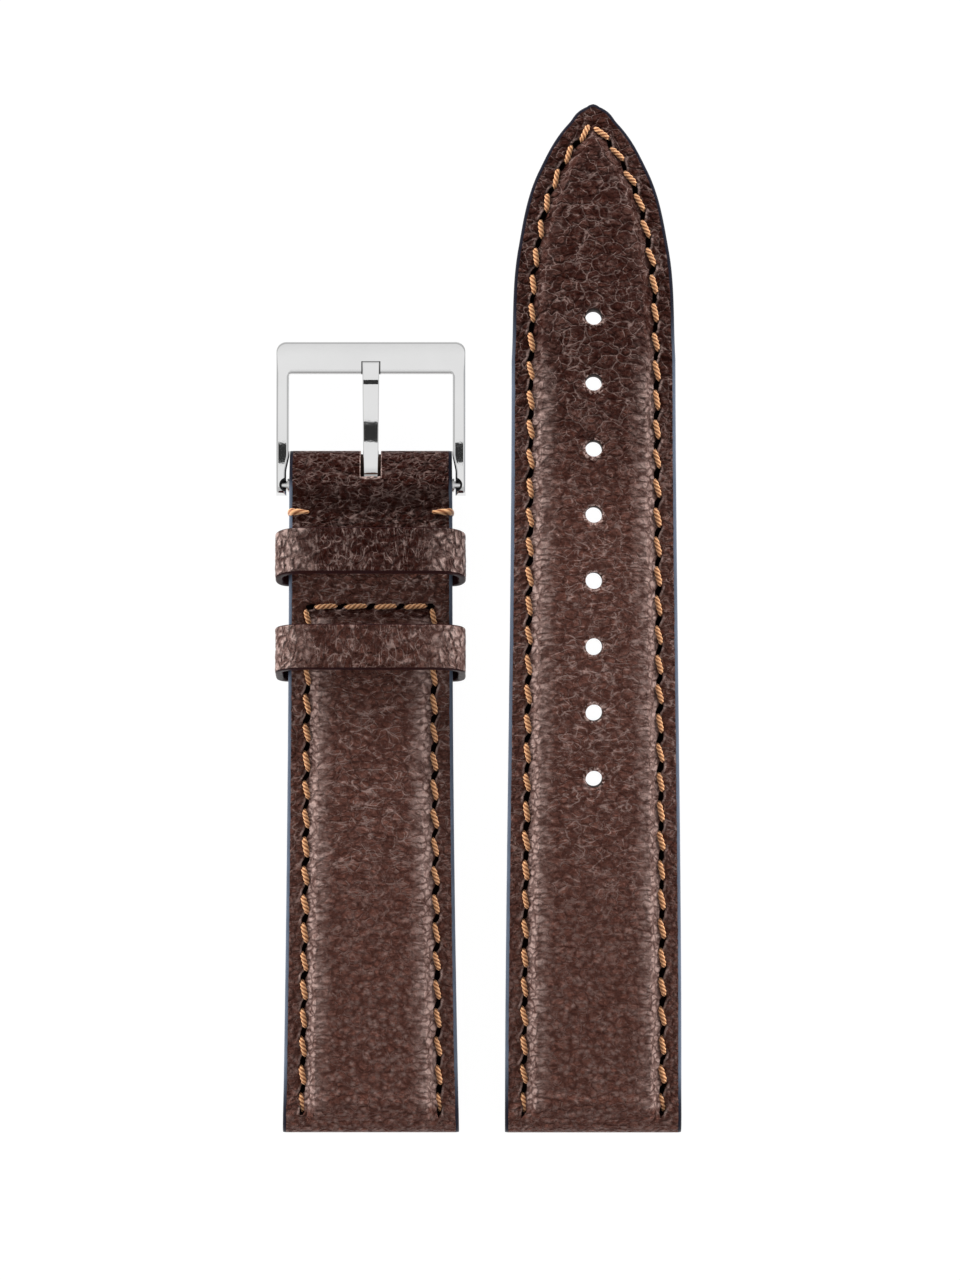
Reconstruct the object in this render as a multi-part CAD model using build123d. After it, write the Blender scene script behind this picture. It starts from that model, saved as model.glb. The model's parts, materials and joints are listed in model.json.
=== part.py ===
from build123d import *
import os
from math import acos, asin, atan2, cos, degrees, hypot, radians, sin, sqrt

# A two-piece padded leather watch strap lying on a table, grain side up, in millimetres.
# The origin is on the table under the middle of the whole part. +Y runs from the lug ends
# to the buckle and the pointed tip, +X is to the right as the wearer looks down on it.

# Sizes of the strap seen from above
lug_width = 20.0
long_length = 116.3
short_length = 77.1
waist_width = 18.5
halves_gap = 4.45
tip_radius = 1.0

# The pointed end: how far behind the tip, and how wide, as shares of the shoulder
shoulder_behind_tip = 29.0
tip_outline_shares = [(0.57, 0.92), (0.26, 0.66), (0.075, 0.297)]
# The short half: how far towards the fold, and how much of the taper is left
short_outline_shares = [(0.22, 0.62), (0.5, 0.2)]

# Leather and what it covers
leather = 0.9
board = 0.7
lining = 0.7
flap_return = 8.0
pad_rise_lug = 1.6
pad_rise_end = 0.8
pad_crown = 0.35
pad_shoulder = 0.3
pad_inset = 2.7
inset_nose = 0.7
inset_points = 18
butt_gap = 0.15
flange = lining + board + leather

# The gentle arch that a new strap keeps on a table
long_bow = 450.0
short_bow = 350.0

# The eye at each lug end, for the watch's own spring bar
lug_bore_radius = 0.9
eye_taper = 3.0

# The eight holes of the long half
hole_radius = 0.95
hole_pitch = 7.4
hole_count = 8
first_hole = 24.1

# The loop of leather round the buckle's bar
bar_to_fold = 3.8
fold_side_gap = 0.2
loop_radius = 2.05
loop_nose_radius = 1.85
loop_taper = 2.8
loop_overlap = 0.12
bar_to_cross_seam = 13.9
flap_past_seam = 1.0
slot_width = 2.3
slot_behind = 0.85
slot_root = 0.45
pocket_clearance = 0.12

# The spring bar of the buckle
tube_radius = 0.8
tube_wall = 0.2
tube_end_gap = 0.95
plunger_radius = 0.54
plunger_length = 2.4
tip_travel = 0.85
collar_radius = 0.8
collar_length = 0.3
collar_side_gap = 0.15
pivot_radius = 0.5
pivot_length = 0.95
pivot_clearance = 0.06
pivot_end_gap = 0.12

# The buckle
frame_width = 21.5
frame_front = 16.3
frame_inner_front = 12.6
leg_width = 1.5
leg_end_width = 1.15
frame_flare = 3.3
frame_seat = 1.6
frame_end_radius = 1.2
frame_corner = 1.15
frame_edge = 0.3
frame_arch = 1.15
frame_front_top = 0.45
frame_under = -0.95
foot_length = 2.6
recess_width = 2.16
recess_behind = 14.05
notch_radius = 0.62
notch_side_gap = 0.18
tongue_tip = 14.0
tongue_width = 1.94
tongue_root_width = 1.7
tongue_thickness = 1.0
tongue_neck = 4.4
tongue_neck_top = 1.05
tongue_crest_top = 1.04
tongue_bend = 11.2
tongue_bend_top = 0.91
tongue_bend_length = 1.2
tongue_dip = 0.02
tongue_tip_top = 0.92
tongue_ring_wall = 0.5
tongue_seat_gap = 0.04
running_clearance = 0.06

# The two keepers
keeper_side_room = 0.6
keeper_length = 5.1
keeper_leather = 0.9
keeper_top = 4.5
keeper_lean = 1.3
keeper_round = 1.5
keeper_corner = 0.55
keeper_run_gap = 0.04
free_keeper_clearance = 0.38
bar_to_fixed_keeper = 8.6
bar_to_free_keeper = 19.2

# The seams
seam_inset = 2.15
stitch_pitch = 3.26
stitch_length = 2.1
stitch_width = 0.64
stitch_height = 0.42
stitch_slant = 13.0
stitch_outline_shares = [(0.0, -0.5), (0.42, -0.4), (0.5, -0.1), (0.42, 0.4), (0.0, 0.5),
                         (-0.42, 0.4), (-0.5, 0.1), (-0.42, -0.4)]
groove_width = 0.98
groove_depth = 0.22
long_seam_start = 3.4
seam_to_lug = 2.6
cross_stitch_pitch = 3.38
cross_stitch_length = 2.7
cross_stitch_count = 4
cross_stitch_under = 0.1
bar_to_edge_stitch = 3.25
edge_stitch_reach = 2.4
edge_stitch_width = 0.75
edge_stitch_height = 0.25

# One length that runs every cut past the faces it goes through
overrun = 6.0

# Places that follow from the sizes
eye_radius = lug_bore_radius + leather
eye_level = flange / 2
frame_inner_width = frame_width - 2 * leg_width
frame_seat_width = frame_width - 2 * leg_end_width
fold_width = frame_inner_width - 2 * fold_side_gap
collar_start = frame_seat_width / 2 - collar_length - collar_side_gap
tube_half_length = collar_start - tube_end_gap
keeper_width = waist_width + 2 * (keeper_leather + keeper_side_room)
halves_pitch = keeper_width / 2 + halves_gap + lug_width / 2
part_width = halves_pitch + keeper_width / 2 + lug_width / 2
short_x = keeper_width / 2 - part_width / 2
long_x = short_x + halves_pitch
lug_end_y = -long_length / 2
tip_y = long_length / 2
eye_y = lug_end_y + eye_radius
bar_y = lug_end_y + short_length - bar_to_fold
bar_z = loop_radius
slot_top = loop_radius


def circles_meet(first, first_radius, second, second_radius):
    """The lower of the two points that lie at the given distances from two points (y, z)."""
    dy, dz = second[0] - first[0], second[1] - first[1]
    apart = hypot(dy, dz)
    along = (first_radius ** 2 - second_radius ** 2 + apart ** 2) / (2 * apart)
    aside = sqrt(first_radius ** 2 - along ** 2)
    return (first[0] + (along * dy + aside * dz) / apart,
            first[1] + (along * dz - aside * dy) / apart)


class Arch:
    """The bottom line of one half, an arc over the table, with levels counted up from it."""

    def __init__(self, x, radius, far_point, far_level):
        self.x = x
        self.radius = radius
        self.y, self.z = circles_meet((eye_y, eye_radius), radius + eye_level,
                                      far_point, radius + far_level)

    def tilt(self, y, level):
        """How far the half leans at y, in degrees."""
        return degrees(asin((y - self.y) / (self.radius + level)))

    def at(self, y, level, x=0.0):
        """The location at y on a level, with Z square to the leather."""
        lean = self.tilt(y, level)
        height = self.z + (self.radius + level) * cos(radians(lean))
        return Pos(self.x + x, y, height) * Rot(-lean, 0, 0)

    def drum(self, level, shift=0.0):
        """A full round as wide as the part, whose top is the arch at a level."""
        return (Pos(self.x, self.y + shift, self.z) * Rot(0, 90, 0)
                * Cylinder(self.radius + level, part_width))

    def layer(self, outline, low, high):
        """What an outline covers between two levels."""
        return prism(outline) & (self.drum(high) - self.drum(low))

    def crowned(self, outline, low):
        """A padded block from a level up, thicker at the lug end, crowned across its width."""
        span = lug_end_y - self.y
        shift = (pad_rise_lug - pad_rise_end) * self.radius / (2 * span)
        top = self.radius + low + (pad_rise_lug + pad_rise_end) / 2
        half = lug_width / 2
        with BuildSketch(Plane((self.x, self.y + shift, self.z), x_dir=(1, 0, 0), z_dir=(0, -1, 0))) as cut:
            with BuildLine():
                Line((-half, top - overrun), (half, top - overrun))
                Line((half, top - overrun), (half, top - pad_crown))
                ThreePointArc((half, top - pad_crown), (0, top), (-half, top - pad_crown))
                Line((-half, top - pad_crown), (-half, top - overrun))
            make_face()
        axis = Axis((self.x, self.y + shift, self.z), (1, 0, 0))
        return prism(outline) & revolve(cut.sketch, axis) & outside(self.drum(low))


def outside(drum):
    """All the room above a drum."""
    return Pos(0, 0, overrun) * Box(4 * part_width, 2 * long_length, 4 * overrun) - drum


def prism(outline):
    """An outline drawn on the table, carried up past the top of the part."""
    return extrude(Pos(0, 0, -overrun) * outline, amount=3 * overrun)


def long_side():
    """The right edge of the long half from the tip to the lug end, about its own middle."""
    half = waist_width / 2
    shoulder = (half, tip_y - shoulder_behind_tip)
    points = [shoulder] + [(half * wide, tip_y - shoulder_behind_tip * behind)
                           for behind, wide in tip_outline_shares]
    nose = (tip_radius * sin(radians(45)), tip_y - tip_radius * (1 - cos(radians(45))))
    round_end = ThreePointArc((0, tip_y), (tip_radius * sin(radians(22.5)),
                              tip_y - tip_radius * (1 - cos(radians(22.5)))), nose)
    ogive = Spline([nose] + points[::-1], tangents=[(1, -1), (0, -1)])
    flank = Spline([shoulder, (lug_width / 2, lug_end_y)], tangents=[(0, -1), (0, -1)])
    return [round_end, ogive, flank]


def short_side():
    """The right edge of the short half from the fold to the lug end, about its own middle."""
    fold_y = bar_y + bar_to_fold
    waist = bar_y - loop_taper
    slack = lug_width - waist_width
    points = [(waist_width / 2 + slack / 2 * left, lug_end_y + (waist - lug_end_y) * along)
              for along, left in short_outline_shares]
    nose = Line((0, fold_y), (fold_width / 2, fold_y))
    cheek = Line((fold_width / 2, fold_y), (waist_width / 2, waist))
    flank = Spline([(waist_width / 2, waist)] + points[::-1] + [(lug_width / 2, lug_end_y)])
    return [nose, cheek, flank]


def mirrored_outline(side, x):
    """The face between a right-hand edge and its mirror image, closed along the lug end."""
    other = [edge.mirror(Plane.YZ) for edge in side]
    close = Line((lug_width / 2, lug_end_y), (-lug_width / 2, lug_end_y))
    return Pos(x, 0, 0) * make_face(side + other + [close])


def between(outline, low_y, high_y):
    """The part of an outline between two places along the strap."""
    middle = (low_y + high_y) / 2
    return outline & (Pos(0, middle, 0) * Rectangle(4 * part_width, high_y - low_y))


def drop_shape(start, start_radius, end, end_radius):
    """Two rounds and the straight tangents between them, drawn in a side view."""
    (x0, y0), (x1, y1) = start, end
    apart = hypot(x1 - x0, y1 - y0)
    heading = atan2(y1 - y0, x1 - x0)
    lean = acos((start_radius - end_radius) / apart)
    corners = []
    for side in (1, -1):
        across = (cos(heading + side * lean), sin(heading + side * lean))
        pair = [(x0 + start_radius * across[0], y0 + start_radius * across[1]),
                (x1 + end_radius * across[0], y1 + end_radius * across[1])]
        corners += pair[::side]
    return (Pos(x0, y0, 0) * Circle(start_radius) + Pos(x1, y1, 0) * Circle(end_radius)
            + make_face(Polyline(*corners, close=True)))


def eye_profile(radius, taper, end_level):
    """The side view of a rolled end: a round that tapers to the thickness of the strap."""
    drop = drop_shape((0, 0), radius, (taper, 0), end_level)
    return drop & (Pos((taper - radius) / 2, 0, 0) * Rectangle(taper + radius, 4 * radius))


def lug_eye(arch):
    """The rolled lug end of one half, with the bore for the watch's spring bar."""
    side = Plane(arch.at(eye_y, eye_level)) * Plane((0, 0, 0), x_dir=(0, 1, 0), z_dir=(1, 0, 0))
    profile = eye_profile(eye_radius, eye_taper, flange / 2)
    return extrude(side * profile, amount=lug_width / 2, both=True)


def lug_bore(arch):
    """The bore of the lug end, run past both edges."""
    return arch.at(eye_y, eye_level) * Rot(0, 90, 0) * Cylinder(lug_bore_radius, 2 * lug_width)


def seam_places(side, first, last):
    """Where a right-hand seam's stitches sit, evenly spread: x, y and the seam's direction."""
    path = Wire(side)
    places = []
    steps = round((last - first) / stitch_pitch)
    for index in range(steps + 1):
        share = (first + (last - first) * index / steps) / path.length
        spot, along = path.position_at(share), path.tangent_at(share)
        inward = Vector(along.Y, -along.X, 0)
        spot = spot + inward * seam_inset
        places.append((spot.X, spot.Y, degrees(asin(along.X))))
    return places


def stitch(length, height):
    """One strand of waxed thread, pointed where it dives into its two holes."""
    points = [(across * stitch_width, along * length) for across, along in stitch_outline_shares]
    return extrude(make_face(Polyline(*points, close=True)), amount=height)


def side_seam(arch, places, mirror):
    """The stitches of one side, in the grain side and in the lining."""
    strand = stitch(stitch_length, stitch_height)
    seam = []
    for x, y, turn in places:
        turn = -turn if mirror else turn
        x = -x if mirror else x
        top = arch.at(y, flange - groove_depth, x)
        seam.append(top * Rot(0, 0, turn + stitch_slant) * strand)
        seam.append(arch.at(y, 0, x) * Rot(0, 0, turn + stitch_slant) * stitch(stitch_length, groove_depth))
    return Compound(seam)


def seam_groove(arch, side, low_y, high_y):
    """The channels that the side seams are pulled into, above and below."""
    outer = drawn_in(side, seam_inset - groove_width / 2, arch.x)
    inner = drawn_in(side, seam_inset + groove_width / 2, arch.x)
    track = between(outer - inner, low_y, high_y)
    top = arch.layer(track, flange - groove_depth, flange + overrun)
    under = arch.layer(track, -overrun / 2, groove_depth)
    return top, under


def drilled(arch, solid):
    """A layer of the long half with its row of holes, each square to the leather."""
    punches = [arch.at(tip_y - first_hole - index * hole_pitch, eye_level)
               * Cylinder(hole_radius, 3 * overrun) for index in range(hole_count)]
    return solid - punches


def drawn_in(side, inset, middle):
    """The outline of a half moved in from the edge, with a round nose at the far end."""
    path = Wire(side)
    points = []
    for index in range(inset_points + 1):
        share = (index / inset_points) ** 2
        spot, along = path.position_at(share), path.tangent_at(share)
        inner = spot + Vector(along.Y, -along.X, 0) * inset
        if inner.X > inset_nose:
            points.append((inner.X, inner.Y))
    (x, y), end = points[0], points[-1]
    mirror_points = [(-across, along) for across, along in points]
    return Pos(middle, 0, 0) * make_face([
        ThreePointArc((-x, y), (0, y + x / 2), (x, y)), Spline(points),
        Line(end, (-end[0], end[1])), Spline(mirror_points[::-1])])


def softened(block, radius):
    """A padded block with its upper rim rounded over."""
    top = block.faces().sort_by(Axis.Z)[-1]
    return fillet(top.edges(), radius)


def long_half():
    """The long half: grain leather, padding, board, lining and the two side seams."""
    arch = Arch(long_x, long_bow, (tip_y, 0), 0)
    side = long_side()
    outline = mirrored_outline(side, long_x)
    start = eye_y + eye_taper
    padded = drawn_in(side, pad_inset, long_x)
    dome = arch.crowned(between(padded, eye_y - leather / 2, tip_y), flange)
    pad_outline = drawn_in(side, pad_inset + leather / 2, long_x)
    pad = arch.crowned(between(pad_outline, start + leather, tip_y), lining + board)
    groove_top, groove_under = seam_groove(arch, side, lug_end_y + seam_to_lug, tip_y)
    grain = arch.layer(between(outline, start, tip_y), lining + board, flange)
    flap = arch.layer(between(outline, start, start + flap_return), 0, lining)
    grain = grain + softened(dome, pad_shoulder) + (lug_eye(arch) & prism(outline)) + flap
    grain = grain - pad - lug_bore(arch) - groove_top - groove_under
    stiffener = arch.layer(between(outline, start + butt_gap, tip_y), lining, lining + board)
    under = arch.layer(between(outline, start + flap_return, tip_y), 0, lining) - groove_under
    last = Wire(side).length - seam_to_lug - stitch_length / 2
    places = seam_places(side, long_seam_start, last)
    return {
        "long_top_leather": drilled(arch, grain),
        "long_padding": drilled(arch, pad),
        "long_stiffener": drilled(arch, stiffener),
        "long_lining": drilled(arch, under),
        "long_right_stitching": side_seam(arch, places, False),
        "long_left_stitching": side_seam(arch, places, True),
    }


def bar_plane():
    """A drawing plane at the buckle's bar: X along the strap, Y up, square to the bar."""
    return Plane((short_x, bar_y, bar_z), x_dir=(0, 1, 0), z_dir=(1, 0, 0))


def loop_plane(arch):
    """The same plane, leaned with the strap."""
    lean = radians(arch.tilt(bar_y, eye_level))
    return Plane((short_x, bar_y, bar_z), x_dir=(0, cos(lean), -sin(lean)), z_dir=(1, 0, 0))


def fold_loop(arch):
    """The grain leather's loop round the bar, with the tongue's slot and the room for its ring."""
    plane = loop_plane(arch)
    nose = bar_to_fold - loop_nose_radius
    outer = (drop_shape((0, 0), loop_radius, (nose, 0), loop_nose_radius)
             + drop_shape((0, 0), loop_radius, (-loop_taper, 0), flange / 2))
    outer = outer & (Pos(overrun - loop_taper, 0, 0) * Rectangle(2 * overrun, 2 * overrun))
    gap_level = lining + board / 2 - flange / 2
    hollow = (drop_shape((0, 0), loop_radius - leather, (nose, 0), loop_nose_radius - leather)
              + drop_shape((0, 0), loop_radius - leather, (-loop_taper, gap_level), board / 2))
    ring_room = tube_radius + running_clearance + tongue_ring_wall + pocket_clearance
    slope = (slot_behind - slot_root) / (slot_top - ring_room)
    far = slot_behind + slope * overrun
    points = [(slot_root, ring_room), (far, slot_top + overrun), (2 * overrun, slot_top + overrun),
              (2 * overrun, -slot_top - overrun), (far, -slot_top - overrun), (slot_root, -ring_room)]
    slot = make_face(Polyline(*points, close=True)) + Circle(ring_room)
    loop = extrude(plane * (outer - hollow), amount=fold_width, both=True)
    return loop, extrude(plane * slot, amount=slot_width / 2, both=True)


def short_half():
    """The short half without its keepers: leather, padding, board, lining and seams."""
    arch = Arch(short_x, short_bow, (bar_y, bar_z), eye_level)
    side = short_side()
    outline = mirrored_outline(side, short_x)
    start = eye_y + eye_taper
    seam_y = bar_y - bar_to_cross_seam
    loop_back = bar_y - loop_taper
    run_y = bar_y - bar_to_fixed_keeper - keeper_lean / 2
    keeper_back = run_y - keeper_length / 2 - keeper_run_gap
    keeper_front = run_y + keeper_length / 2 + keeper_lean / 2 + keeper_run_gap
    pad_end = seam_y - stitch_width
    padded = drawn_in(side[-1:], pad_inset, short_x)
    dome = arch.crowned(between(padded, eye_y - leather / 2, pad_end), flange)
    pad_outline = drawn_in(side[-1:], pad_inset + leather / 2, short_x)
    pad = arch.crowned(between(pad_outline, start + leather, pad_end - leather / 2),
                       lining + board)
    groove_top, groove_under = seam_groove(arch, side[-1:], lug_end_y + seam_to_lug, seam_y)
    loop, slot = fold_loop(arch)
    flap_end = seam_y - flap_past_seam
    grain = arch.layer(between(outline, start, loop_back + loop_overlap), lining + board, flange)
    lug_flap = arch.layer(between(outline, start, start + flap_return), 0, lining)
    bar_flap = arch.layer(between(outline, flap_end, loop_back + loop_overlap), 0, lining)
    grain = grain + softened(dome, pad_shoulder) + (lug_eye(arch) & prism(outline)) + lug_flap
    grain = grain - pad - lug_bore(arch)
    grain = grain + (loop & prism(outline)) + bar_flap - slot - groove_top - groove_under
    stiffener = arch.layer(between(outline, start + butt_gap, keeper_back), lining, lining + board)
    filler = arch.layer(between(outline, keeper_front, loop_back - butt_gap), lining, lining + board)
    under = arch.layer(between(outline, start + flap_return, flap_end), 0, lining) - groove_under
    last = Wire(side).length - seam_to_lug - stitch_length / 2
    first = last - (seam_y - lug_end_y - seam_to_lug - stitch_length)
    places = seam_places(side, first, last)
    return arch, {
        "short_top_leather": grain,
        "short_padding": pad,
        "short_stiffener": stiffener,
        "fold_filler": filler,
        "short_lining": under,
        "short_right_stitching": side_seam(arch, places, False),
        "short_left_stitching": side_seam(arch, places, True),
        "cross_stitching": cross_seam(arch, seam_y),
        "edge_stitches": edge_stitches(arch, outline),
    }


def cross_seam(arch, seam_y):
    """The row of stitches across the short half that ends the padding."""
    strand = stitch(cross_stitch_length, stitch_height - groove_depth)
    under = stitch(cross_stitch_length, cross_stitch_under)
    seam = []
    for index in range(cross_stitch_count):
        x = (index - (cross_stitch_count - 1) / 2) * cross_stitch_pitch
        seam.append(arch.at(seam_y, flange, x) * Rot(0, 0, 90 - stitch_slant) * strand)
        seam.append(arch.at(seam_y, -cross_stitch_under, x) * Rot(0, 0, 90 - stitch_slant) * under)
    return Compound(seam)


def edge_stitches(arch, outline):
    """A stitch wrapped over each edge, which shuts the fold in front of the fixed keeper."""
    y = bar_y - bar_to_edge_stitch
    half = waist_width / 2
    wraps = []
    for hand in (-1, 1):
        tall = flange + 2 * edge_stitch_height
        outer = Rectangle(edge_stitch_reach + edge_stitch_height, tall)
        inner = (Pos(-edge_stitch_height * hand, 0, 0)
                 * Rectangle(edge_stitch_reach + edge_stitch_height, flange))
        middle = hand * (half + edge_stitch_height - (edge_stitch_reach + edge_stitch_height) / 2)
        side = Plane(arch.at(y, flange / 2, middle)) * Plane((0, 0, 0), x_dir=(1, 0, 0), z_dir=(0, -1, 0))
        wraps.append(extrude(side * (outer - inner), amount=edge_stitch_width / 2, both=True))
    return Compound(wraps) - arch.layer(outline, 0, flange)


def keeper(arch, y, run_low, run_leather, inner_width):
    """A loop of leather that leans towards the buckle: its lower run, sides and crown."""
    low, high = run_low, keeper_top + keeper_leather
    middle = (low + high) / 2
    outer = Pos(0, middle, 0) * RectangleRounded(keeper_width, high - low, keeper_round)
    inner_low = low + run_leather
    inner = (Pos(0, (inner_low + keeper_top) / 2, 0)
             * RectangleRounded(inner_width, keeper_top - inner_low, keeper_round - keeper_leather))
    ring = extrude(Plane.XZ * (outer - inner), amount=overrun + keeper_length, both=True)
    band = Pos(0, 0, low) * RectangleRounded(keeper_width, keeper_length, keeper_corner)
    lean = Vector(0, keeper_lean, high - low)
    leaned = extrude(band, amount=lean.length, dir=lean.normalized())
    return arch.at(y, 0) * Pos(0, -keeper_lean / 2, 0) * (ring & leaned)


def keepers(arch):
    """The fixed keeper, held in the fold, and the free one that slides."""
    inner = keeper_width - 2 * keeper_leather
    run = board - 2 * keeper_run_gap
    fixed_y = bar_y - bar_to_fixed_keeper
    fixed = keeper(arch, fixed_y, lining + keeper_run_gap, run, inner)
    free_y = bar_y - bar_to_free_keeper
    free = keeper(arch, free_y, -free_keeper_clearance - keeper_leather, keeper_leather, inner)
    return {"fixed_keeper": fixed, "free_keeper": free}


def frame_window():
    """The inner outline of the buckle frame: straight legs that flare round the bar's seats."""
    back = -2 * frame_end_radius
    half, seat = frame_inner_width / 2, frame_seat_width / 2
    return make_face(Polyline((-half, frame_inner_front), (half, frame_inner_front), (half, frame_flare),
                              (seat, frame_seat), (seat, back), (-seat, back), (-seat, frame_seat),
                              (-half, frame_flare), close=True))


def frame_side():
    """The side view of the buckle: a round end, an arched leg and a front bar that meets the table."""
    top = frame_front_top
    table = -bar_z
    heel = frame_front - foot_length - frame_edge
    with BuildSketch() as side:
        with BuildLine():
            ThreePointArc((0, frame_end_radius), (-frame_end_radius, 0), (0, -frame_end_radius))
            ThreePointArc((0, -frame_end_radius), (frame_front / 2, frame_under), (heel, table))
            Line((heel, table), (frame_front - frame_edge, table))
            ThreePointArc((frame_front - frame_edge, table), (frame_front, (table + top) / 2),
                          (frame_front - frame_edge, top))
            ThreePointArc((frame_front - frame_edge, top), (frame_front / 2, frame_arch),
                          (0, frame_end_radius))
        make_face()
    return side.sketch


def buckle_frame():
    """The steel frame: a recess for the tongue's tip, a seat and a notch for each pivot."""
    long = frame_front + frame_end_radius
    body = Pos(0, frame_front - long / 2, 0) * RectangleRounded(frame_width, long, frame_corner)
    squared = Rectangle(frame_width, 2 * frame_end_radius)
    flat = body + squared - frame_window()
    walls = extrude(Pos(0, 0, -overrun) * flat, amount=2 * overrun)
    side = extrude(Plane((0, 0, 0), x_dir=(0, 1, 0), z_dir=(1, 0, 0)) * frame_side(),
                   amount=frame_width, both=True)
    frame = walls & side
    floor = tongue_tip_top - tongue_thickness - tongue_seat_gap
    recess_long = recess_behind - frame_inner_front + overrun
    recess = (Pos(0, recess_behind - recess_long / 2, floor + overrun)
              * Box(recess_width, recess_long, 2 * overrun))
    seat_end = collar_start + collar_length + pivot_length + pivot_end_gap
    seats = Rot(0, 90, 0) * Cylinder(pivot_radius + pivot_clearance, 2 * seat_end)
    notch_x = frame_seat_width / 2 - notch_side_gap
    notches = [Pos(hand * notch_x, 0, overrun) * Cylinder(notch_radius, 2 * overrun) for hand in (-1, 1)]
    frame = frame - recess - seats - notches
    return Pos(short_x, bar_y, bar_z) * frame


def tongue_side():
    """The side view of the tongue: a rising neck, a long crest and a tip that bends level."""
    half = tongue_thickness / 2
    low = tongue_tip_top - tongue_thickness
    crest = (tongue_neck + tongue_bend) / 2
    flat = tongue_bend + tongue_bend_length
    middle = (flat + tongue_bend) / 2
    with BuildSketch() as side:
        with BuildLine():
            Polyline((half, -half), (0, -half), (0, half), (half, half), (tongue_neck, tongue_neck_top))
            ThreePointArc((tongue_neck, tongue_neck_top), (crest, tongue_crest_top),
                          (tongue_bend, tongue_bend_top))
            ThreePointArc((tongue_bend, tongue_bend_top), (middle, tongue_bend_top - tongue_dip),
                          (flat, tongue_bend_top - tongue_dip / 2))
            Line((flat, tongue_bend_top - tongue_dip / 2), (tongue_tip - half, tongue_tip_top))
            ThreePointArc((tongue_tip - half, tongue_tip_top), (tongue_tip, (tongue_tip_top + low) / 2),
                          (tongue_tip - half, low))
            Line((tongue_tip - half, low), (frame_inner_front, low))
            ThreePointArc((frame_inner_front, low), (crest, tongue_crest_top - tongue_thickness),
                          (half, -half))
        make_face()
    return side.sketch


def tongue():
    """The steel tongue: a ring round the bar and a prong that narrows to its tip in the recess."""
    ring = tube_radius + running_clearance + tongue_ring_wall
    face = tongue_side() + Circle(ring) - Circle(tube_radius + running_clearance)
    prong = extrude(bar_plane() * face, amount=tongue_root_width / 2, both=True)
    root, tip = tongue_root_width / 2, tongue_width / 2
    plan = make_face(Polyline((-root, -ring), (root, -ring), (root, ring), (tip, tongue_tip),
                              (-tip, tongue_tip), (-root, ring), close=True))
    return prong & (Pos(short_x, bar_y, 0) * prism(plan))


def spring_bar():
    """The buckle's bar: a tube, the spring in it and the two sprung tips."""
    turn = Pos(short_x, bar_y, bar_z) * Rot(0, 90, 0)
    bore = tube_radius - tube_wall
    tube = turn * (Cylinder(tube_radius, 2 * tube_half_length) - Cylinder(bore, 2 * tube_half_length))
    plunger_end = collar_start - plunger_length
    spring_end = plunger_end - tip_travel - pivot_clearance
    spring = turn * (Cylinder(bore, 2 * spring_end) - Cylinder(bore / 2, 2 * spring_end))
    tips = {}
    for name, hand in (("left", -1), ("right", 1)):
        plunger = (Pos(0, 0, hand * (plunger_end + plunger_length / 2))
                   * Cylinder(plunger_radius, plunger_length))
        collar = (Pos(0, 0, hand * (collar_start + collar_length / 2))
                  * Cylinder(collar_radius, collar_length))
        pivot_middle = collar_start + collar_length + pivot_length / 2
        pivot = Pos(0, 0, hand * pivot_middle) * Cylinder(pivot_radius, pivot_length)
        tips["spring_bar_" + name + "_tip"] = turn * (plunger + collar + pivot)
    return {"spring_bar_tube": tube, "spring_bar_spring": spring, **tips}


def main():
    """Builds every piece and writes one file for each."""
    os.makedirs("parts", exist_ok=True)
    arch, pieces = short_half()
    pieces.update(keepers(arch))
    pieces.update(long_half())
    pieces.update(spring_bar())
    pieces["buckle_frame"] = buckle_frame()
    pieces["buckle_tongue"] = tongue()
    for name, solid in pieces.items():
        export_step(solid, "parts/" + name + ".step")


main()
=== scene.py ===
"""Dresses a padded leather watch strap: grained leather, waxed thread and polished steel."""
import json
from math import acos, cos, hypot, pi, radians, sin, sqrt, tan

import bmesh
import bpy
import numpy as np
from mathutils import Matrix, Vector


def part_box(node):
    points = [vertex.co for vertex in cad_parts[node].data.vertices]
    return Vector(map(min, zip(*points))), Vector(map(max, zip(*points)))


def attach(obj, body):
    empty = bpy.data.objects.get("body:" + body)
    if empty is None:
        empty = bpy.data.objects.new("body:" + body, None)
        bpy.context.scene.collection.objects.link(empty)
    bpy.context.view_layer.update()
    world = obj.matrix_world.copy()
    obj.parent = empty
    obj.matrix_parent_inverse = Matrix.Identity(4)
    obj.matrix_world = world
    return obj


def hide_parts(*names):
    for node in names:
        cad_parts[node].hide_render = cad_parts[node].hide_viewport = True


bl_info = {
    "name": "Leather watch strap",
    "version": (1, 0, 0),
    "blender": (4, 5, 0),
    "location": "3D View > Sidebar > Watch strap",
    "description": "Builds the leather, thread and steel of a two-piece watch strap around its frame",
    "category": "Object",
}

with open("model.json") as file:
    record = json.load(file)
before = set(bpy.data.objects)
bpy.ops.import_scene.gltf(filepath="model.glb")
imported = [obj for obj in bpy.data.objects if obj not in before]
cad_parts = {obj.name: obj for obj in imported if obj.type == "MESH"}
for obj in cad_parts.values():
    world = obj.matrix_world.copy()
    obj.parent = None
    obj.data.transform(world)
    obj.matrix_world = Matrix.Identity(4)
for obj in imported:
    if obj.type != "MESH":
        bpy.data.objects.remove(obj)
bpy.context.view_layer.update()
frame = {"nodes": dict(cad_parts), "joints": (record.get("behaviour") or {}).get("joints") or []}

MM = 0.001
RNG_SEED = 7


def corner(node):
    """Lowest and highest corner of a node of the frame, as arrays in metres."""
    low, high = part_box(node)
    return np.array(low), np.array(high)


def joint(name):
    """The named joint of the frame."""
    return next(entry for entry in frame["joints"] if entry["name"] == name)


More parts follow.
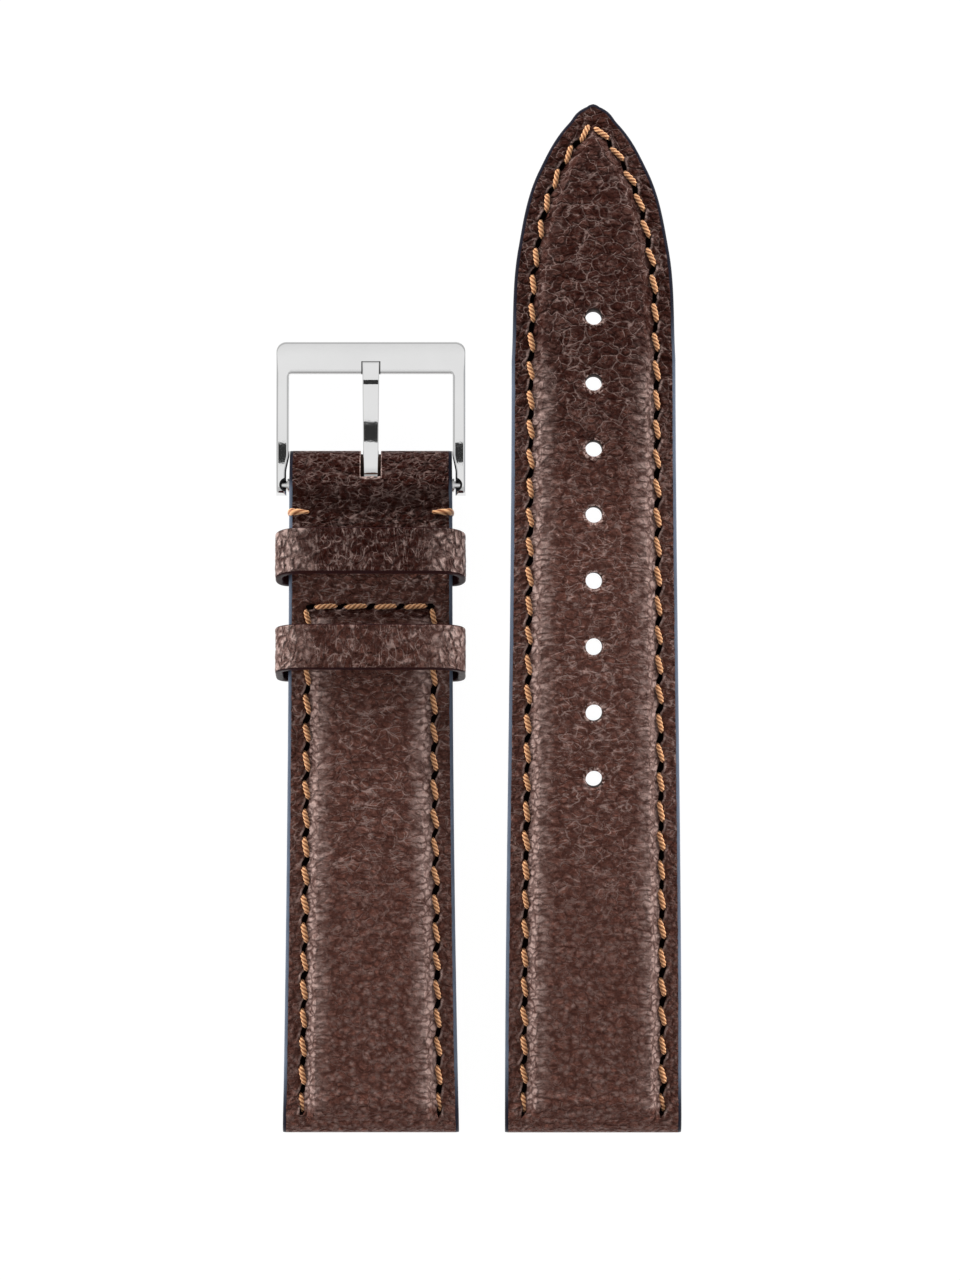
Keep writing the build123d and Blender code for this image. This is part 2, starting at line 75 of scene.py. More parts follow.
# Places read from the frame
LONG_LOW, LONG_HIGH = corner("long_top_leather")
SHORT_LOW, SHORT_HIGH = corner("short_top_leather")
LONG_X = (LONG_LOW[0] + LONG_HIGH[0]) / 2
SHORT_X = (SHORT_LOW[0] + SHORT_HIGH[0]) / 2
LUG_END_Y = LONG_LOW[1]
TIP_Y = LONG_HIGH[1]
FOLD_Y = SHORT_HIGH[1]
BAR = np.array(joint("buckle_swing")["pos_m"])


def length(label, note, size_mm):
    """A property for a length, from its real size in millimetres."""
    return bpy.props.FloatProperty(name=label, description=note, default=size_mm * MM, unit="LENGTH")


def finish(label, note, hex_colour):
    """A property for the colour of a finish."""
    return bpy.props.StringProperty(name=label, description=note, default=hex_colour)


class StrapSizes(bpy.types.PropertyGroup):
    """Sizes of the strap's leather and seams."""

    lug_width: length("Lug width", "Width of both halves at the watch", 20.0)
    waist_width: length("Waist width", "Width behind the buckle and the tip", 18.5)
    fold_width: length("Fold width", "Width of the loop between the buckle's legs", 18.36)
    flange: length("Flange", "Thickness of the unpadded leather", 2.3)
    edge_radius: length("Edge radius", "Rounding of the burnished edges", 0.45)
    pad_rise_lug: length("Pad rise at the lugs", "Height of the padding at the watch", 1.6)
    pad_rise_end: length("Pad rise at the end", "Height of the padding at the far end", 0.8)
    pad_inset: length("Pad inset", "From the edge to the foot of the padding", 2.65)
    pad_shoulder: length("Pad shoulder", "Width of the padding's rounded shoulder", 1.1)
    pad_crown: length("Pad crown", "How much higher the middle is than the shoulders", 0.35)
    seam_inset: length("Seam inset", "From the edge to the stitches", 2.15)
    stitch_pitch: length("Stitch pitch", "From one stitch to the next", 3.26)
    stitch_length: length("Stitch length", "Thread that shows in one stitch", 2.42)
    thread_width: length("Thread width", "Thickness of the waxed thread", 0.66)
    stitch_slant: bpy.props.FloatProperty(
        name="Stitch slant", description="How far each stitch leans off its seam", default=radians(14),
        subtype="ANGLE")
    slit_length: length("Slit length", "The awl's slit between two stitches", 2.1)
    slit_width: length("Slit width", "How far the awl's slit gapes", 0.64)
    mesh_step: length("Mesh step", "Distance between points of the leather", 0.2)


class StrapColours(bpy.types.PropertyGroup):
    """Colours of the strap's finishes, as sRGB hex values."""

    # Deep: the dye's darkest tone, also painted shade deep in the creases, and the keepers' edge paint
    leather_deep: finish("Leather, deep", "Colour down in the grain", "#2E0F08")
    leather_body: finish("Leather, body", "Main colour of the dyed leather", "#7B5146")
    # Ridge: rubbed creases, and painted highlights on the creases, the padding's shoulders, the pebbles, the
    # hole rims, the slits' lips and the keepers' ends
    leather_rub_highlight: finish("Leather, ridge", "Rubbed creases and shoulders", "#B59A92")
    # Slit: painted shade for the darkness inside the awl's slits
    slit: finish("Slit", "Darkness in the awl's slits", "#120504")
    # Edge paint: the dark paint's colour together with a painted blue-grey sheen
    edge_paint_sheen: finish("Edge paint", "Paint on the cut edges", "#6F7A8C")
    edge_dark: finish("Edge paint, worn dark", "Paint near the tip and the lug ends", "#20202A")
    cut_deep: finish("Cut leather, deep", "Between the fibres of a cut edge", "#1E100D")
    cut_fibre: finish("Cut leather, fibre", "Fibres of a cut edge", "#5A4238")
    lining: finish("Lining", "Colour of the lining leather", "#7A5236")
    lining_deep: finish("Lining, deep", "Darker patches of the lining", "#5C3A24")
    thread: finish("Thread", "Colour of the waxed thread", "#FAC08B")
    thread_shade: finish("Thread, shaded", "Colour between the plies", "#96522A")
    steel: finish("Steel", "Polished steel", "#EDEDED")
    steel_smear: finish("Steel, smeared", "Where the polish is a little duller", "#E4E4E4")
    # Recess steel: painted shade, nearly black for the shade in the buckle's recesses, with darker marks of
    # the drill
    recess_shade: finish("Drilled steel", "Inside the buckle's recesses", "#4A4A4D")
    recess_shade_deep: finish("Drilled steel, deep", "Marks of the drill", "#1C1C1E")
    floor: finish("Floor", "Pale ground", "#F4F4F4")


def sizes():
    """The strap's sizes, as the panel holds them."""
    return bpy.context.scene.strap_sizes


def colours():
    """The strap's colours, as the panel holds them."""
    return bpy.context.scene.strap_colours


def linear(hex_colour):
    """An sRGB hex value as linear colour with alpha."""
    parts = [int(hex_colour[i:i + 2], 16) / 255 for i in (1, 3, 5)]
    return tuple(p / 12.92 if p <= 0.04045 else ((p + 0.055) / 1.055) ** 2.4 for p in parts) + (1.0,)


# Shapes of the leather

EYE_RADIUS = 1.8 * MM
EYE_BORE = 0.9 * MM
EYE_TAPER = 3.0 * MM
LOOP_RADIUS = 2.05 * MM
LOOP_NOSE_RADIUS = 1.85 * MM
LOOP_TAPER = 2.8 * MM
LEATHER = 0.9 * MM
FLAP_RETURN = 8.0 * MM
CROSS_SEAM = 13.9 * MM
CROSS_PITCH = 3.38 * MM
FLAP_PAST_SEAM = 1.0 * MM
SLOT_WIDTH = 2.3 * MM
SLOT_BEHIND = 0.85 * MM
SLOT_ROOT = 0.45 * MM
RING_ROOM = 1.48 * MM
LONG_BOW = 450 * MM
SHORT_BOW = 350 * MM
HOLE_RADIUS = 0.95 * MM
HOLE_PITCH = 7.4 * MM
HOLE_COUNT = 8
FIRST_HOLE = 0.2 * MM + 24.1 * MM
SEAM_TO_LUG = 2.3 * MM
SLIT_SLANT = radians(19)
TIP_RADIUS = 1.0 * MM
SHOULDER = 29.0 * MM
TIP_OUTLINE_SHARES = [(0.0, 0.0), (0.012, 0.09), (0.075, 0.297), (0.26, 0.66), (0.57, 0.92), (1.0, 1.0)]


def smooth(value):
    """A soft step from 0 to 1."""
    held = np.clip(value, 0, 1)
    return held * held * (3 - 2 * held)


class Arch:
    """The arc that the bottom of one half follows over the table."""

    def __init__(self, x, radius, far_y, far_z, far_level):
        level = sizes().flange / 2
        eye_y = LUG_END_Y + EYE_RADIUS
        self.x, self.radius, self.eye_y = x, radius, eye_y
        dy, dz = far_y - eye_y, far_z - EYE_RADIUS
        apart = hypot(dy, dz)
        near, far = radius + level, radius + far_level
        along = (near ** 2 - far ** 2 + apart ** 2) / (2 * apart)
        aside = sqrt(near ** 2 - along ** 2)
        self.y = eye_y + (along * dy + aside * dz) / apart
        self.z = EYE_RADIUS + (along * dz - aside * dy) / apart

    def place(self, x, y, level):
        """Points over the places (x, y) of the bottom line, raised by a level square to the arc."""
        lean = np.arcsin((y - self.y) / self.radius)
        reach = self.radius + level
        return np.stack([x + self.x + 0 * y, self.y + reach * np.sin(lean),
                         self.z + reach * np.cos(lean)], -1)

    def lean(self, y):
        """How far the arc slopes at y."""
        return np.arcsin((y - self.y) / self.radius)


def long_arch():
    return Arch(LONG_X, LONG_BOW, TIP_Y, 0.0, 0.0)


def short_arch():
    return Arch(SHORT_X, SHORT_BOW, BAR[1], BAR[2], sizes().flange / 2)


def curve_through(shares, value):
    """A smooth monotone curve through a table of shares."""
    at, to = np.array(shares).T
    slopes = np.gradient(to, at)
    index = np.clip(np.searchsorted(at, value) - 1, 0, len(at) - 2)
    span = at[index + 1] - at[index]
    t = (value - at[index]) / span
    a, b = to[index], to[index + 1]
    ma, mb = slopes[index] * span, slopes[index + 1] * span
    return (2 * t ** 3 - 3 * t ** 2 + 1) * a + (t ** 3 - 2 * t ** 2 + t) * ma \
        + (3 * t ** 2 - 2 * t ** 3) * b + (t ** 3 - t ** 2) * mb


def long_half_width(y):
    """Half the width of the long half at y."""
    s = sizes()
    waist = s.waist_width / 2
    behind = np.clip((TIP_Y - y) / SHOULDER, 0, 1)
    ogive = waist * curve_through(TIP_OUTLINE_SHARES, behind)
    nose = np.sqrt(np.clip(TIP_RADIUS ** 2 - (TIP_RADIUS - (TIP_Y - y)) ** 2, 0, None))
    nose_depth = TIP_RADIUS * (1 - cos(radians(45)))
    ogive = np.where(TIP_Y - y < nose_depth, nose, ogive)
    flank = np.clip((TIP_Y - SHOULDER - y) / (TIP_Y - SHOULDER - LUG_END_Y), 0, 1)
    return ogive + (s.lug_width / 2 - waist) * smooth(flank)


def short_half_width(y):
    """Half the width of the short half at y."""
    s = sizes()
    waist_y = BAR[1] - LOOP_TAPER
    share = np.clip((waist_y - y) / (waist_y - LUG_END_Y), 0, 1)
    flank = s.waist_width / 2 + (s.lug_width - s.waist_width) / 2 * share ** 2.1
    cheek = np.clip((y - waist_y) / (FOLD_Y - waist_y), 0, 1)
    return flank + (s.fold_width - s.waist_width) / 2 * cheek


def drop_reach(y, centre, radius, taper, end_level):
    """Half height at y of a round that tapers along the strap to the thickness of the flange."""
    away = y - centre
    round_part = np.sqrt(np.clip(radius ** 2 - away ** 2, 0, None))
    slope = acos((radius - end_level) / abs(taper))
    touch = radius * cos(slope)
    line = radius * sin(slope) - (np.abs(away) - touch) / tan(slope)
    toward = np.sign(taper) * away
    return np.where(toward > touch, np.maximum(line, end_level), round_part)


def edge_distance(x, y, width_at, y_low, y_high, both_ends):
    """Distance in from the outline, measured to the nearest point of the edge."""
    line_y = np.concatenate([np.linspace(y_low, y_high - SHOULDER, 60),
                             y_high - SHOULDER * (1 - np.linspace(0, 1, 160)) ** 2])
    line_x = width_at(line_y)
    away = np.full(x.shape, 1.0)
    for px, py in zip(line_x, line_y):
        away = np.minimum(away, np.hypot(np.abs(x) - px, y - py))
    side = width_at(y) - np.abs(x)
    return np.where(y > y_high - 1.2 * SHOULDER, np.minimum(side, away), side) if both_ends else side


def mesh_object(name, points, faces, material, smooth_shading=True):
    """A mesh from arrays of points and faces, with its material."""
    mesh = bpy.data.meshes.new(name)
    mesh.from_pydata([tuple(p) for p in points], [], faces)
    mesh.materials.append(material)
    mesh.validate()
    bm = bmesh.new()
    bm.from_mesh(mesh)
    bmesh.ops.recalc_face_normals(bm, faces=bm.faces)
    if bm.calc_volume(signed=True) < 0:
        bmesh.ops.reverse_faces(bm, faces=bm.faces)
    bm.to_mesh(mesh)
    bm.free()
    mesh.polygons.foreach_set("use_smooth", [smooth_shading] * len(mesh.polygons))
    piece = bpy.data.objects.new(name, mesh)
    bpy.context.scene.collection.objects.link(piece)
    return piece


def grid_faces(rows, columns, wrap_rows=False, wrap_columns=False, start=0):
    """Quads of a grid of points, with either direction closed on itself."""
    row = np.arange(rows if wrap_rows else rows - 1)
    column = np.arange(columns if wrap_columns else columns - 1)
    r, c = np.meshgrid(row, column, indexing="ij")
    r, c = r.ravel(), c.ravel()
    r2, c2 = (r + 1) % rows, (c + 1) % columns
    quads = np.stack([r * columns + c, r * columns + c2, r2 * columns + c2, r2 * columns + c], -1)
    return [tuple(quad) for quad in quads + start]


def capped(rings, around):
    """Faces of a stack of rings with a face over each end."""
    last = (rings - 1) * around
    return grid_faces(rings, around, wrap_columns=True) + [tuple(range(around))[::-1],
                                                           tuple(range(last, last + around))]


def set_attribute(piece, name, values):
    """Stores one number for each point of a piece."""
    attribute = piece.data.attributes.new(name, "FLOAT", "POINT")
    attribute.data.foreach_set("value", np.asarray(values, dtype=np.float32).ravel())


def worley(x, y, cell, seed):
    """Distance from each place to the nearest border of a field of irregular cells, 0 on the border."""
    gx, gy = x / cell, y / cell
    ix, iy = np.floor(gx), np.floor(gy)
    first = np.full(x.shape, 9.0)
    second = np.full(x.shape, 9.0)
    for ox in (-1, 0, 1):
        for oy in (-1, 0, 1):
            cx, cy = ix + ox, iy + oy
            h1 = np.modf(np.abs(np.sin(cx * 127.1 + cy * 311.7 + seed) * 43758.5453))[0]
            h2 = np.modf(np.abs(np.sin(cx * 269.5 + cy * 183.3 + seed) * 43758.5453))[0]
            away = np.hypot(cx + h1 - gx, cy + h2 - gy)
            nearer = away < first
            second = np.where(nearer, first, np.minimum(second, away))
            first = np.where(nearer, away, first)
    return second - first


def wander(x, y, size, seed):
    """A slow field of soft bumps between -1 and 1, from a few crossing waves."""
    rng = np.random.default_rng(seed)
    total = np.zeros(x.shape)
    for _ in range(7):
        turn, phase = rng.uniform(0, 2 * pi, 2)
        wave = size * rng.uniform(0.6, 1.8)
        total += np.sin((x * cos(turn) + y * sin(turn)) * 2 * pi / wave + phase)
    return total / 7


def creases(x, y, along):
    """Height of the pressed grain: soft pillows between creases, larger towards the far end."""
    big = 1.9 * MM
    fine = 1.0 * MM
    wx = x + 0.5 * MM * wander(x, y, 4 * MM, 3)
    wy = y + 0.5 * MM * wander(x, y, 4 * MM, 4)
    pillows = smooth(worley(wx, wy * 1.15, big, 1.0) * 2.4)
    wrinkles = smooth(worley(wx * 0.8, wy * 1.6, fine, 5.0) * 2.2)
    share = smooth(along)
    height = 0.08 * MM * (pillows - 0.7) * (0.3 + 0.7 * share)
    height += 0.05 * MM * (wrinkles - 0.7)
    height += 0.06 * MM * wander(x, y, 7 * MM, 6) + 0.035 * MM * wander(0.5 * x, y, 2.2 * MM, 16)
    return height


def strap_columns():
    """Insets from the edge for one side of the top, close together over the rounded edge and the seam."""
    s = sizes()
    near = s.edge_radius * (1 - np.cos(np.linspace(0, pi / 2, 7)))
    seam = s.seam_inset
    return np.concatenate([near, np.arange(0.6 * MM, seam - 0.6 * MM, 0.16 * MM),
                           np.arange(seam - 0.6 * MM, seam + 0.65 * MM, 0.1 * MM),
                           np.arange(seam + 0.7 * MM, seam + 2.2 * MM, 0.15 * MM)])


def stitch_spots(half):
    """Where a half's right-hand seam has its stitches: x, y and direction."""
    s = sizes()
    if half == "long":
        far_y, width_at, first = TIP_Y, long_half_width, 3.4 * MM
    else:
        far_y, width_at, first = BAR[1] - CROSS_SEAM, short_half_width, s.stitch_length / 2 + 0.1 * MM
    y = far_y + (LUG_END_Y - far_y) * np.linspace(0, 1, 4000) ** 2
    x = width_at(y)
    dy, dx = np.gradient(y), np.gradient(x)
    size = np.hypot(dx, dy)
    along = np.concatenate([[0], np.cumsum(np.hypot(np.diff(x), np.diff(y)))])
    last = along[-1] - SEAM_TO_LUG - s.stitch_length / 2
    inner_x, inner_y = x + dy / size * s.seam_inset, y - dx / size * s.seam_inset
    steps = round((last - first) / s.stitch_pitch)
    spots = []
    for at in first + (last - first) * np.arange(steps + 1) / steps:
        tx, ty = np.interp(at, along, dx / size), np.interp(at, along, dy / size)
        spots.append((np.interp(at, along, inner_x), np.interp(at, along, inner_y), np.arctan2(tx, -ty)))
    return spots


def slit_spots(half):
    """Where the awl's slits lie, between the stitches and past the last one, on both sides."""
    s = sizes()
    spots = stitch_spots(half)
    places = []
    for index, (x, y, turn) in enumerate(spots):
        after = spots[index + 1] if index + 1 < len(spots) else \
            (x + 0.45 * s.stitch_pitch * sin(turn), y - 0.45 * s.stitch_pitch * cos(turn), turn)
        middle = ((x + after[0]) / 2, (y + after[1]) / 2, (turn + after[2]) / 2)
        share = 1.0 if index + 1 < len(spots) else 0.6
        places += [(hand * middle[0], middle[1], hand * middle[2] - SLIT_SLANT, share) for hand in (-1, 1)]
    return places


def slit_field(x, y, places):
    """How deep inside a slit each place is, from 0 to 1, and how much of its raised lip."""
    s = sizes()
    rng = np.random.default_rng(RNG_SEED)
    field, lip = np.zeros(x.shape), np.zeros(x.shape)
    for px, py, turn, share in places:
        a = s.slit_length / 2 * share * rng.uniform(0.8, 1.1)
        b = s.slit_width / 2 * rng.uniform(0.8, 1.15)
        turn = turn + rng.uniform(-0.12, 0.12)
        near = (np.abs(x - px) < a + 2 * b) & (np.abs(y - py) < a + 2 * b)
        dx, dy = x[near] - px, y[near] - py
        u = dx * cos(turn) + dy * sin(turn)
        v = -dx * sin(turn) + dy * cos(turn)
        u = u + 0.05 * MM * np.sin(v / (0.21 * MM) + px * 9000)
        wide = b * np.clip(1 - (v / a) ** 2, 0.001, 1)
        field[near] = np.maximum(field[near], np.clip(1 - np.abs(u) / wide, 0, 1) * (np.abs(v) < a))
        outer = np.exp(-((u * np.sign(px + 1e-6) - b * 1.15) / (0.13 * MM)) ** 2)
        outer = outer * np.clip(1 - (v / a) ** 2, 0, 1)
        lip[near] = np.maximum(lip[near], outer)
    return field, lip


def body_mesh(name, arch, width_at, rows, top_at, bottom_at, pad_at, material, tip, slits):
    """One half's leather as a closed skin: a loop of points across the strap for each row."""
    insets = strap_columns()
    middle_count, wall_count = 60, 4
    width = width_at(rows)
    fold = np.minimum(1, width / (insets[-1] * 1.15))
    inset_grid = insets[None, :] * fold[:, None]
    left = -(width[:, None] - inset_grid)
    middle = np.linspace(-1, 1, middle_count + 2)[1:-1][None, :] * (width[:, None] - inset_grid[:, -1:])
    right = -left[:, ::-1]
    x_top = np.concatenate([left, middle, right], 1)
    y_top = np.repeat(rows[:, None], x_top.shape[1], 1)
    d_top = edge_distance(x_top, y_top, width_at, LUG_END_Y, rows[-1], tip)
    d_top[:, 0] = 0
    d_top[:, -1] = 0
    top = top_at(x_top, y_top, np.maximum(d_top, 0))
    cut, lip = slit_field(x_top, y_top, slits)
    top = top - 0.4 * MM * smooth(cut * 1.6) + 0.1 * MM * lip
    bottom = bottom_at(rows)[:, None]
    top = np.maximum(top, bottom + 0.04 * MM)
    side_top = top[:, :1]
    # The two side walls run from the rounded upper edge down to a smaller rounding below
    low_round = np.minimum(0.25 * MM, 0.4 * (side_top - bottom))
    wall = np.linspace(1, 0, wall_count + 1)[None, 1:]
    right_wall_level = bottom + low_round + (side_top - bottom - low_round) * wall
    turn = np.linspace(0, pi / 2, 4)[None, 1:]
    fold_low = np.minimum(1, width / MM)[:, None]
    right_under_x = width[:, None] - low_round * (1 - np.cos(turn)) * fold_low
    right_under_level = bottom + low_round * (1 - np.sin(turn))
    under_middle = np.linspace(1, -1, 10)[None, 1:-1] * (width[:, None] - low_round * fold_low)
    under_middle_level = np.repeat(bottom, under_middle.shape[1], 1)
    wall_x = np.repeat(width[:, None], wall_count, 1)
    x_all = np.concatenate([x_top, wall_x, right_under_x, under_middle, -right_under_x[:, ::-1], -wall_x], 1)
    level = np.concatenate([top, right_wall_level, right_under_level, under_middle_level,
                            right_under_level[:, ::-1], right_wall_level[:, ::-1]], 1)
    y_all = np.repeat(rows[:, None], x_all.shape[1], 1)
    points = arch.place(x_all, y_all, level)
    piece = mesh_object(name, points.reshape(-1, 3), capped(*x_all.shape), material)
    top_count = x_top.shape[1]
    painted = np.zeros_like(x_all)
    painted[:, :top_count] = np.maximum(d_top, 0)
    under = slice(top_count + wall_count, -wall_count)
    painted[:, under] = np.minimum(1, np.abs(width[:, None] - np.abs(x_all[:, under])))
    set_attribute(piece, "edge", painted / MM)
    for label, values in (("slit", cut), ("lip", lip)):
        shown = np.zeros_like(x_all)
        shown[:, :top_count] = values
        set_attribute(piece, label, shown)
    set_attribute(piece, "pad", np.repeat(pad_at(rows)[:, None], x_all.shape[1], 1))
    return piece


def volume(mesh):
    """Volume that a closed mesh holds."""
    bm = bmesh.new()
    bm.from_mesh(mesh)
    held = abs(bm.calc_volume(signed=True))
    bm.free()
    return held


def carve(piece, cutters):
    """Cuts shapes out of a piece for good, one after the other, and fails if a cut adds to it."""
    for cutter in cutters:
        before = volume(piece.data)
        modifier = piece.modifiers.new("cut", "BOOLEAN")
        modifier.operation = "DIFFERENCE"
        modifier.solver = "EXACT"
        modifier.object = cutter
        bpy.context.view_layer.update()
        evaluated = piece.evaluated_get(bpy.context.evaluated_depsgraph_get())
        mesh = bpy.data.meshes.new_from_object(evaluated)
        piece.modifiers.clear()
        if volume(mesh) > before:
            raise RuntimeError("A cut added to " + piece.name)
        piece.data = mesh
        bpy.data.objects.remove(cutter)


def ring_cutter(rings):
    """A solid to cut with, from rings of points with a face over each end."""
    return mesh_object("cutter", np.concatenate(rings), capped(len(rings), len(rings[0])),
                       bpy.data.materials["cut_leather_raw"])


def bar_cutter(x, y, z, radius, width, sides=48):
    """A round bar across the strap, to cut a bore with."""
    turn = np.linspace(0, 2 * pi, sides, endpoint=False)
    ring = np.stack([np.zeros(sides), radius * np.cos(turn), radius * np.sin(turn)], -1)
    return ring_cutter([ring + np.array([x - width / 2, y, z]), ring + np.array([x + width / 2, y, z])])


def profile_cutter(outline, x_low, x_high, place):
    """A closed side outline (along, up) drawn out across the strap, to cut with."""
    return ring_cutter([[place(x, along, up) for along, up in outline] for x in (x_low, x_high)])


def hole_cutter(arch, y, radius, sides=40):
    """A punch square to the leather."""
    turn = np.linspace(0, 2 * pi, sides, endpoint=False)
    lean = float(arch.lean(np.array(y)))
    middle = arch.place(np.array(0.0), np.array(y), np.array(sizes().flange / 2))
    along = np.array([0, cos(lean), -sin(lean)])
    up = np.array([0, sin(lean), cos(lean)])
    return ring_cutter([[middle + np.array([radius * cos(t), 0, 0]) + along * radius * sin(t) + up * height
                         for t in turn] for height in (-5 * MM, 5 * MM)])


def punches(arch):
    """The punches for all the holes of the long half."""
    return [hole_cutter(arch, TIP_Y - FIRST_HOLE - index * HOLE_PITCH, HOLE_RADIUS)
            for index in range(HOLE_COUNT)]


def pad_height(x, d, share, fade):
    """How far the padding lifts the grain leather at a place."""
    s = sizes()
    rise = s.pad_rise_lug + (s.pad_rise_end - s.pad_rise_lug) * share
    shoulder = smooth((d - s.pad_inset + 0.1 * MM) / s.pad_shoulder)
    crown = s.pad_crown * (x / (s.lug_width / 2)) ** 2
    return (rise - crown) * shoulder * fade


def groove_height(d, fade):
    """The channel that the seam is pulled into."""
    s = sizes()
    return -0.24 * MM * np.exp(-((d - s.seam_inset) / (0.36 * MM)) ** 2) * fade


def edge_height(d):
    """The rounding of the painted edge."""
    r = sizes().edge_radius
    held = np.clip(d, 0, r)
    return np.sqrt(np.clip(r ** 2 - (r - held) ** 2, 0, None)) - r


def lug_fade(y):
    """How much of the padding is left towards the lug end."""
    return smooth((y - LUG_END_Y - 0.9 * MM) / (3.2 * MM))


def cross_fade(y):
    """How much of the short half's padding is left towards the cross seam."""
    return smooth((BAR[1] - CROSS_SEAM - 0.5 * MM - y) / (1.3 * MM))


def short_pad(y):
    """How much of the short half's padding is left at either end."""
    return lug_fade(y) * cross_fade(y)


def lug_crease(x, y):
    """The crease across the lug end where the leather starts to roll round the spring bar."""
    line = LUG_END_Y + 1.55 * MM + 0.16 * MM * wander(x, 0 * x, 5 * MM, 21)
    return -0.13 * MM * np.exp(-((y - line) / (0.2 * MM)) ** 2)


def hole_dent(x, y):
    """The leather that the punch has pressed down round each hole."""
    along = (TIP_Y - FIRST_HOLE - y) / HOLE_PITCH
    nearest = np.clip(np.round(along), 0, HOLE_COUNT - 1)
    away = np.hypot(x, (along - nearest) * HOLE_PITCH)
    return -0.14 * MM * np.exp(-((away - HOLE_RADIUS) / (0.4 * MM)) ** 2)


def eye_reach(y):
    """Half height of the rolled lug end, which tapers to the thickness of the flange."""
    reach = drop_reach(y, LUG_END_Y + EYE_RADIUS, EYE_RADIUS, EYE_TAPER, sizes().flange / 2)
    return np.maximum(reach, 0)


def seam_start(y):
    """How much of the seam's channel there is, from none on the lug end to all past it."""
    return smooth((y - LUG_END_Y - EYE_RADIUS - 0.2 * MM) / (1.0 * MM))


def grain_share(y, d):
    """How much of the grain's relief there is: little on the flange, none at the edge and the lug end."""
    flange = 0.35 + 0.65 * smooth((d - sizes().seam_inset) / (0.8 * MM))
    return smooth(d / (0.6 * MM)) * flange * smooth((y - LUG_END_Y) / (1.5 * MM))


def long_top(x, y, d):
    """Level of the long half's grain side."""
    share = np.clip((y - LUG_END_Y) / (TIP_Y - LUG_END_Y), 0, 1)
    level = sizes().flange / 2 + eye_reach(y) + edge_height(d) + groove_height(d, seam_start(y))
    level = level + pad_height(x, d, share, lug_fade(y)) + lug_crease(x, y) + hole_dent(x, y)
    return level + creases(x, y, share) * grain_share(y, d)


def long_bottom(y):
    """Level of the long half's underside."""
    return sizes().flange / 2 - eye_reach(y)


def loop_reach(y):
    """Half height of the fold round the buckle's bar, at y."""
    s = sizes()
    nose = FOLD_Y - LOOP_NOSE_RADIUS
    tail = drop_reach(y, BAR[1], LOOP_RADIUS, -LOOP_TAPER, s.flange / 2)
    front = np.sqrt(np.clip(LOOP_NOSE_RADIUS ** 2 - (y - nose) ** 2, 0, None))
    share = np.clip((y - BAR[1]) / (nose - BAR[1]), 0, 1)
    bridge = LOOP_RADIUS + (LOOP_NOSE_RADIUS - LOOP_RADIUS) * share
    return np.where(y < BAR[1], tail, np.where(y < nose, bridge, front))


def short_base(y):
    """Half height of the short half's leather without its padding."""
    return np.where(y < 0.5 * (LUG_END_Y + BAR[1]), eye_reach(y), loop_reach(y))


def short_top(x, y, d):
    """Level of the short half's grain side."""
    seam_y = BAR[1] - CROSS_SEAM
    share = np.clip((y - LUG_END_Y) / (seam_y - LUG_END_Y), 0, 1)
    seam = seam_start(y) * smooth((seam_y + 0.4 * MM - y) / (0.8 * MM))
    cross = -0.24 * MM * np.exp(-((y - seam_y) / (0.4 * MM)) ** 2) * smooth((d - 1.7 * MM) / (0.5 * MM))
    level = sizes().flange / 2 + short_base(y) + edge_height(d) + groove_height(d, seam) + cross
    level = level + pad_height(x, d, share, short_pad(y)) + lug_crease(x + 9 * MM, y)
    relief = grain_share(y, d) * smooth((FOLD_Y - y) / (1.2 * MM))
    return level + creases(x + 40 * MM, y, share) * relief


def short_bottom(y):
    """Level of the short half's underside."""
    return sizes().flange / 2 - short_base(y)


def spaced_rows(low, high, step, low_round, high_round):
    """Rows along the strap, closer together where an end is rounded."""
    ends_low = low + low_round * (1 - np.cos(np.linspace(0.06, pi / 2, 12)))
    ends_high = high - high_round * (1 - np.cos(np.linspace(0.06, pi / 2, 14)))[::-1]
    middle = np.arange(ends_low[-1] + step, ends_high[0] - step / 2, step)
    return np.concatenate([ends_low, middle, ends_high])


# Materials


def new_material(name):
    """An empty material with its shader and output in place."""
    material = bpy.data.materials.new(name)
    material.use_nodes = True
    tree = material.node_tree
    tree.nodes.clear()
    shader = add(tree, "ShaderNodeBsdfPrincipled")
    add(tree, "ShaderNodeOutputMaterial", i0=shader.outputs[0])
    return material, tree, shader


def add(tree, kind, settings=(), **links):
    """Adds a node, sets its properties and sockets, and links its inputs."""
    node = tree.nodes.new(kind)
    for key, value in dict(settings).items():
        if hasattr(node, key):
            setattr(node, key, value)
        else:
            node.inputs[key].default_value = value
    return feed(tree, node, **links)


def feed(tree, node, **links):
    """Sets or links a node's inputs by their names, or by number as i0, i1 and so on."""
    for key, value in links.items():
        key = key.replace("_", " ")
        socket = node.inputs[int(key[1:])] if key[0] == "i" and key[1:].isdigit() else node.inputs[key]
        if isinstance(value, (int, float, tuple)):
            socket.default_value = value
        else:
            tree.links.new(value, socket)
    return node


def maths(tree, operation, *values):
    """One sum of values and sockets."""
    return add(tree, "ShaderNodeMath", {"operation": operation},
               **{"i%d" % index: value for index, value in enumerate(values)}).outputs[0]


def times(tree, product, *others):
    """A product of values and sockets."""
    for value in others:
        product = maths(tree, "MULTIPLY", product, value)
    return product


def rest(tree, value):
    """What is left of one."""
    return maths(tree, "SUBTRACT", 1.0, value)


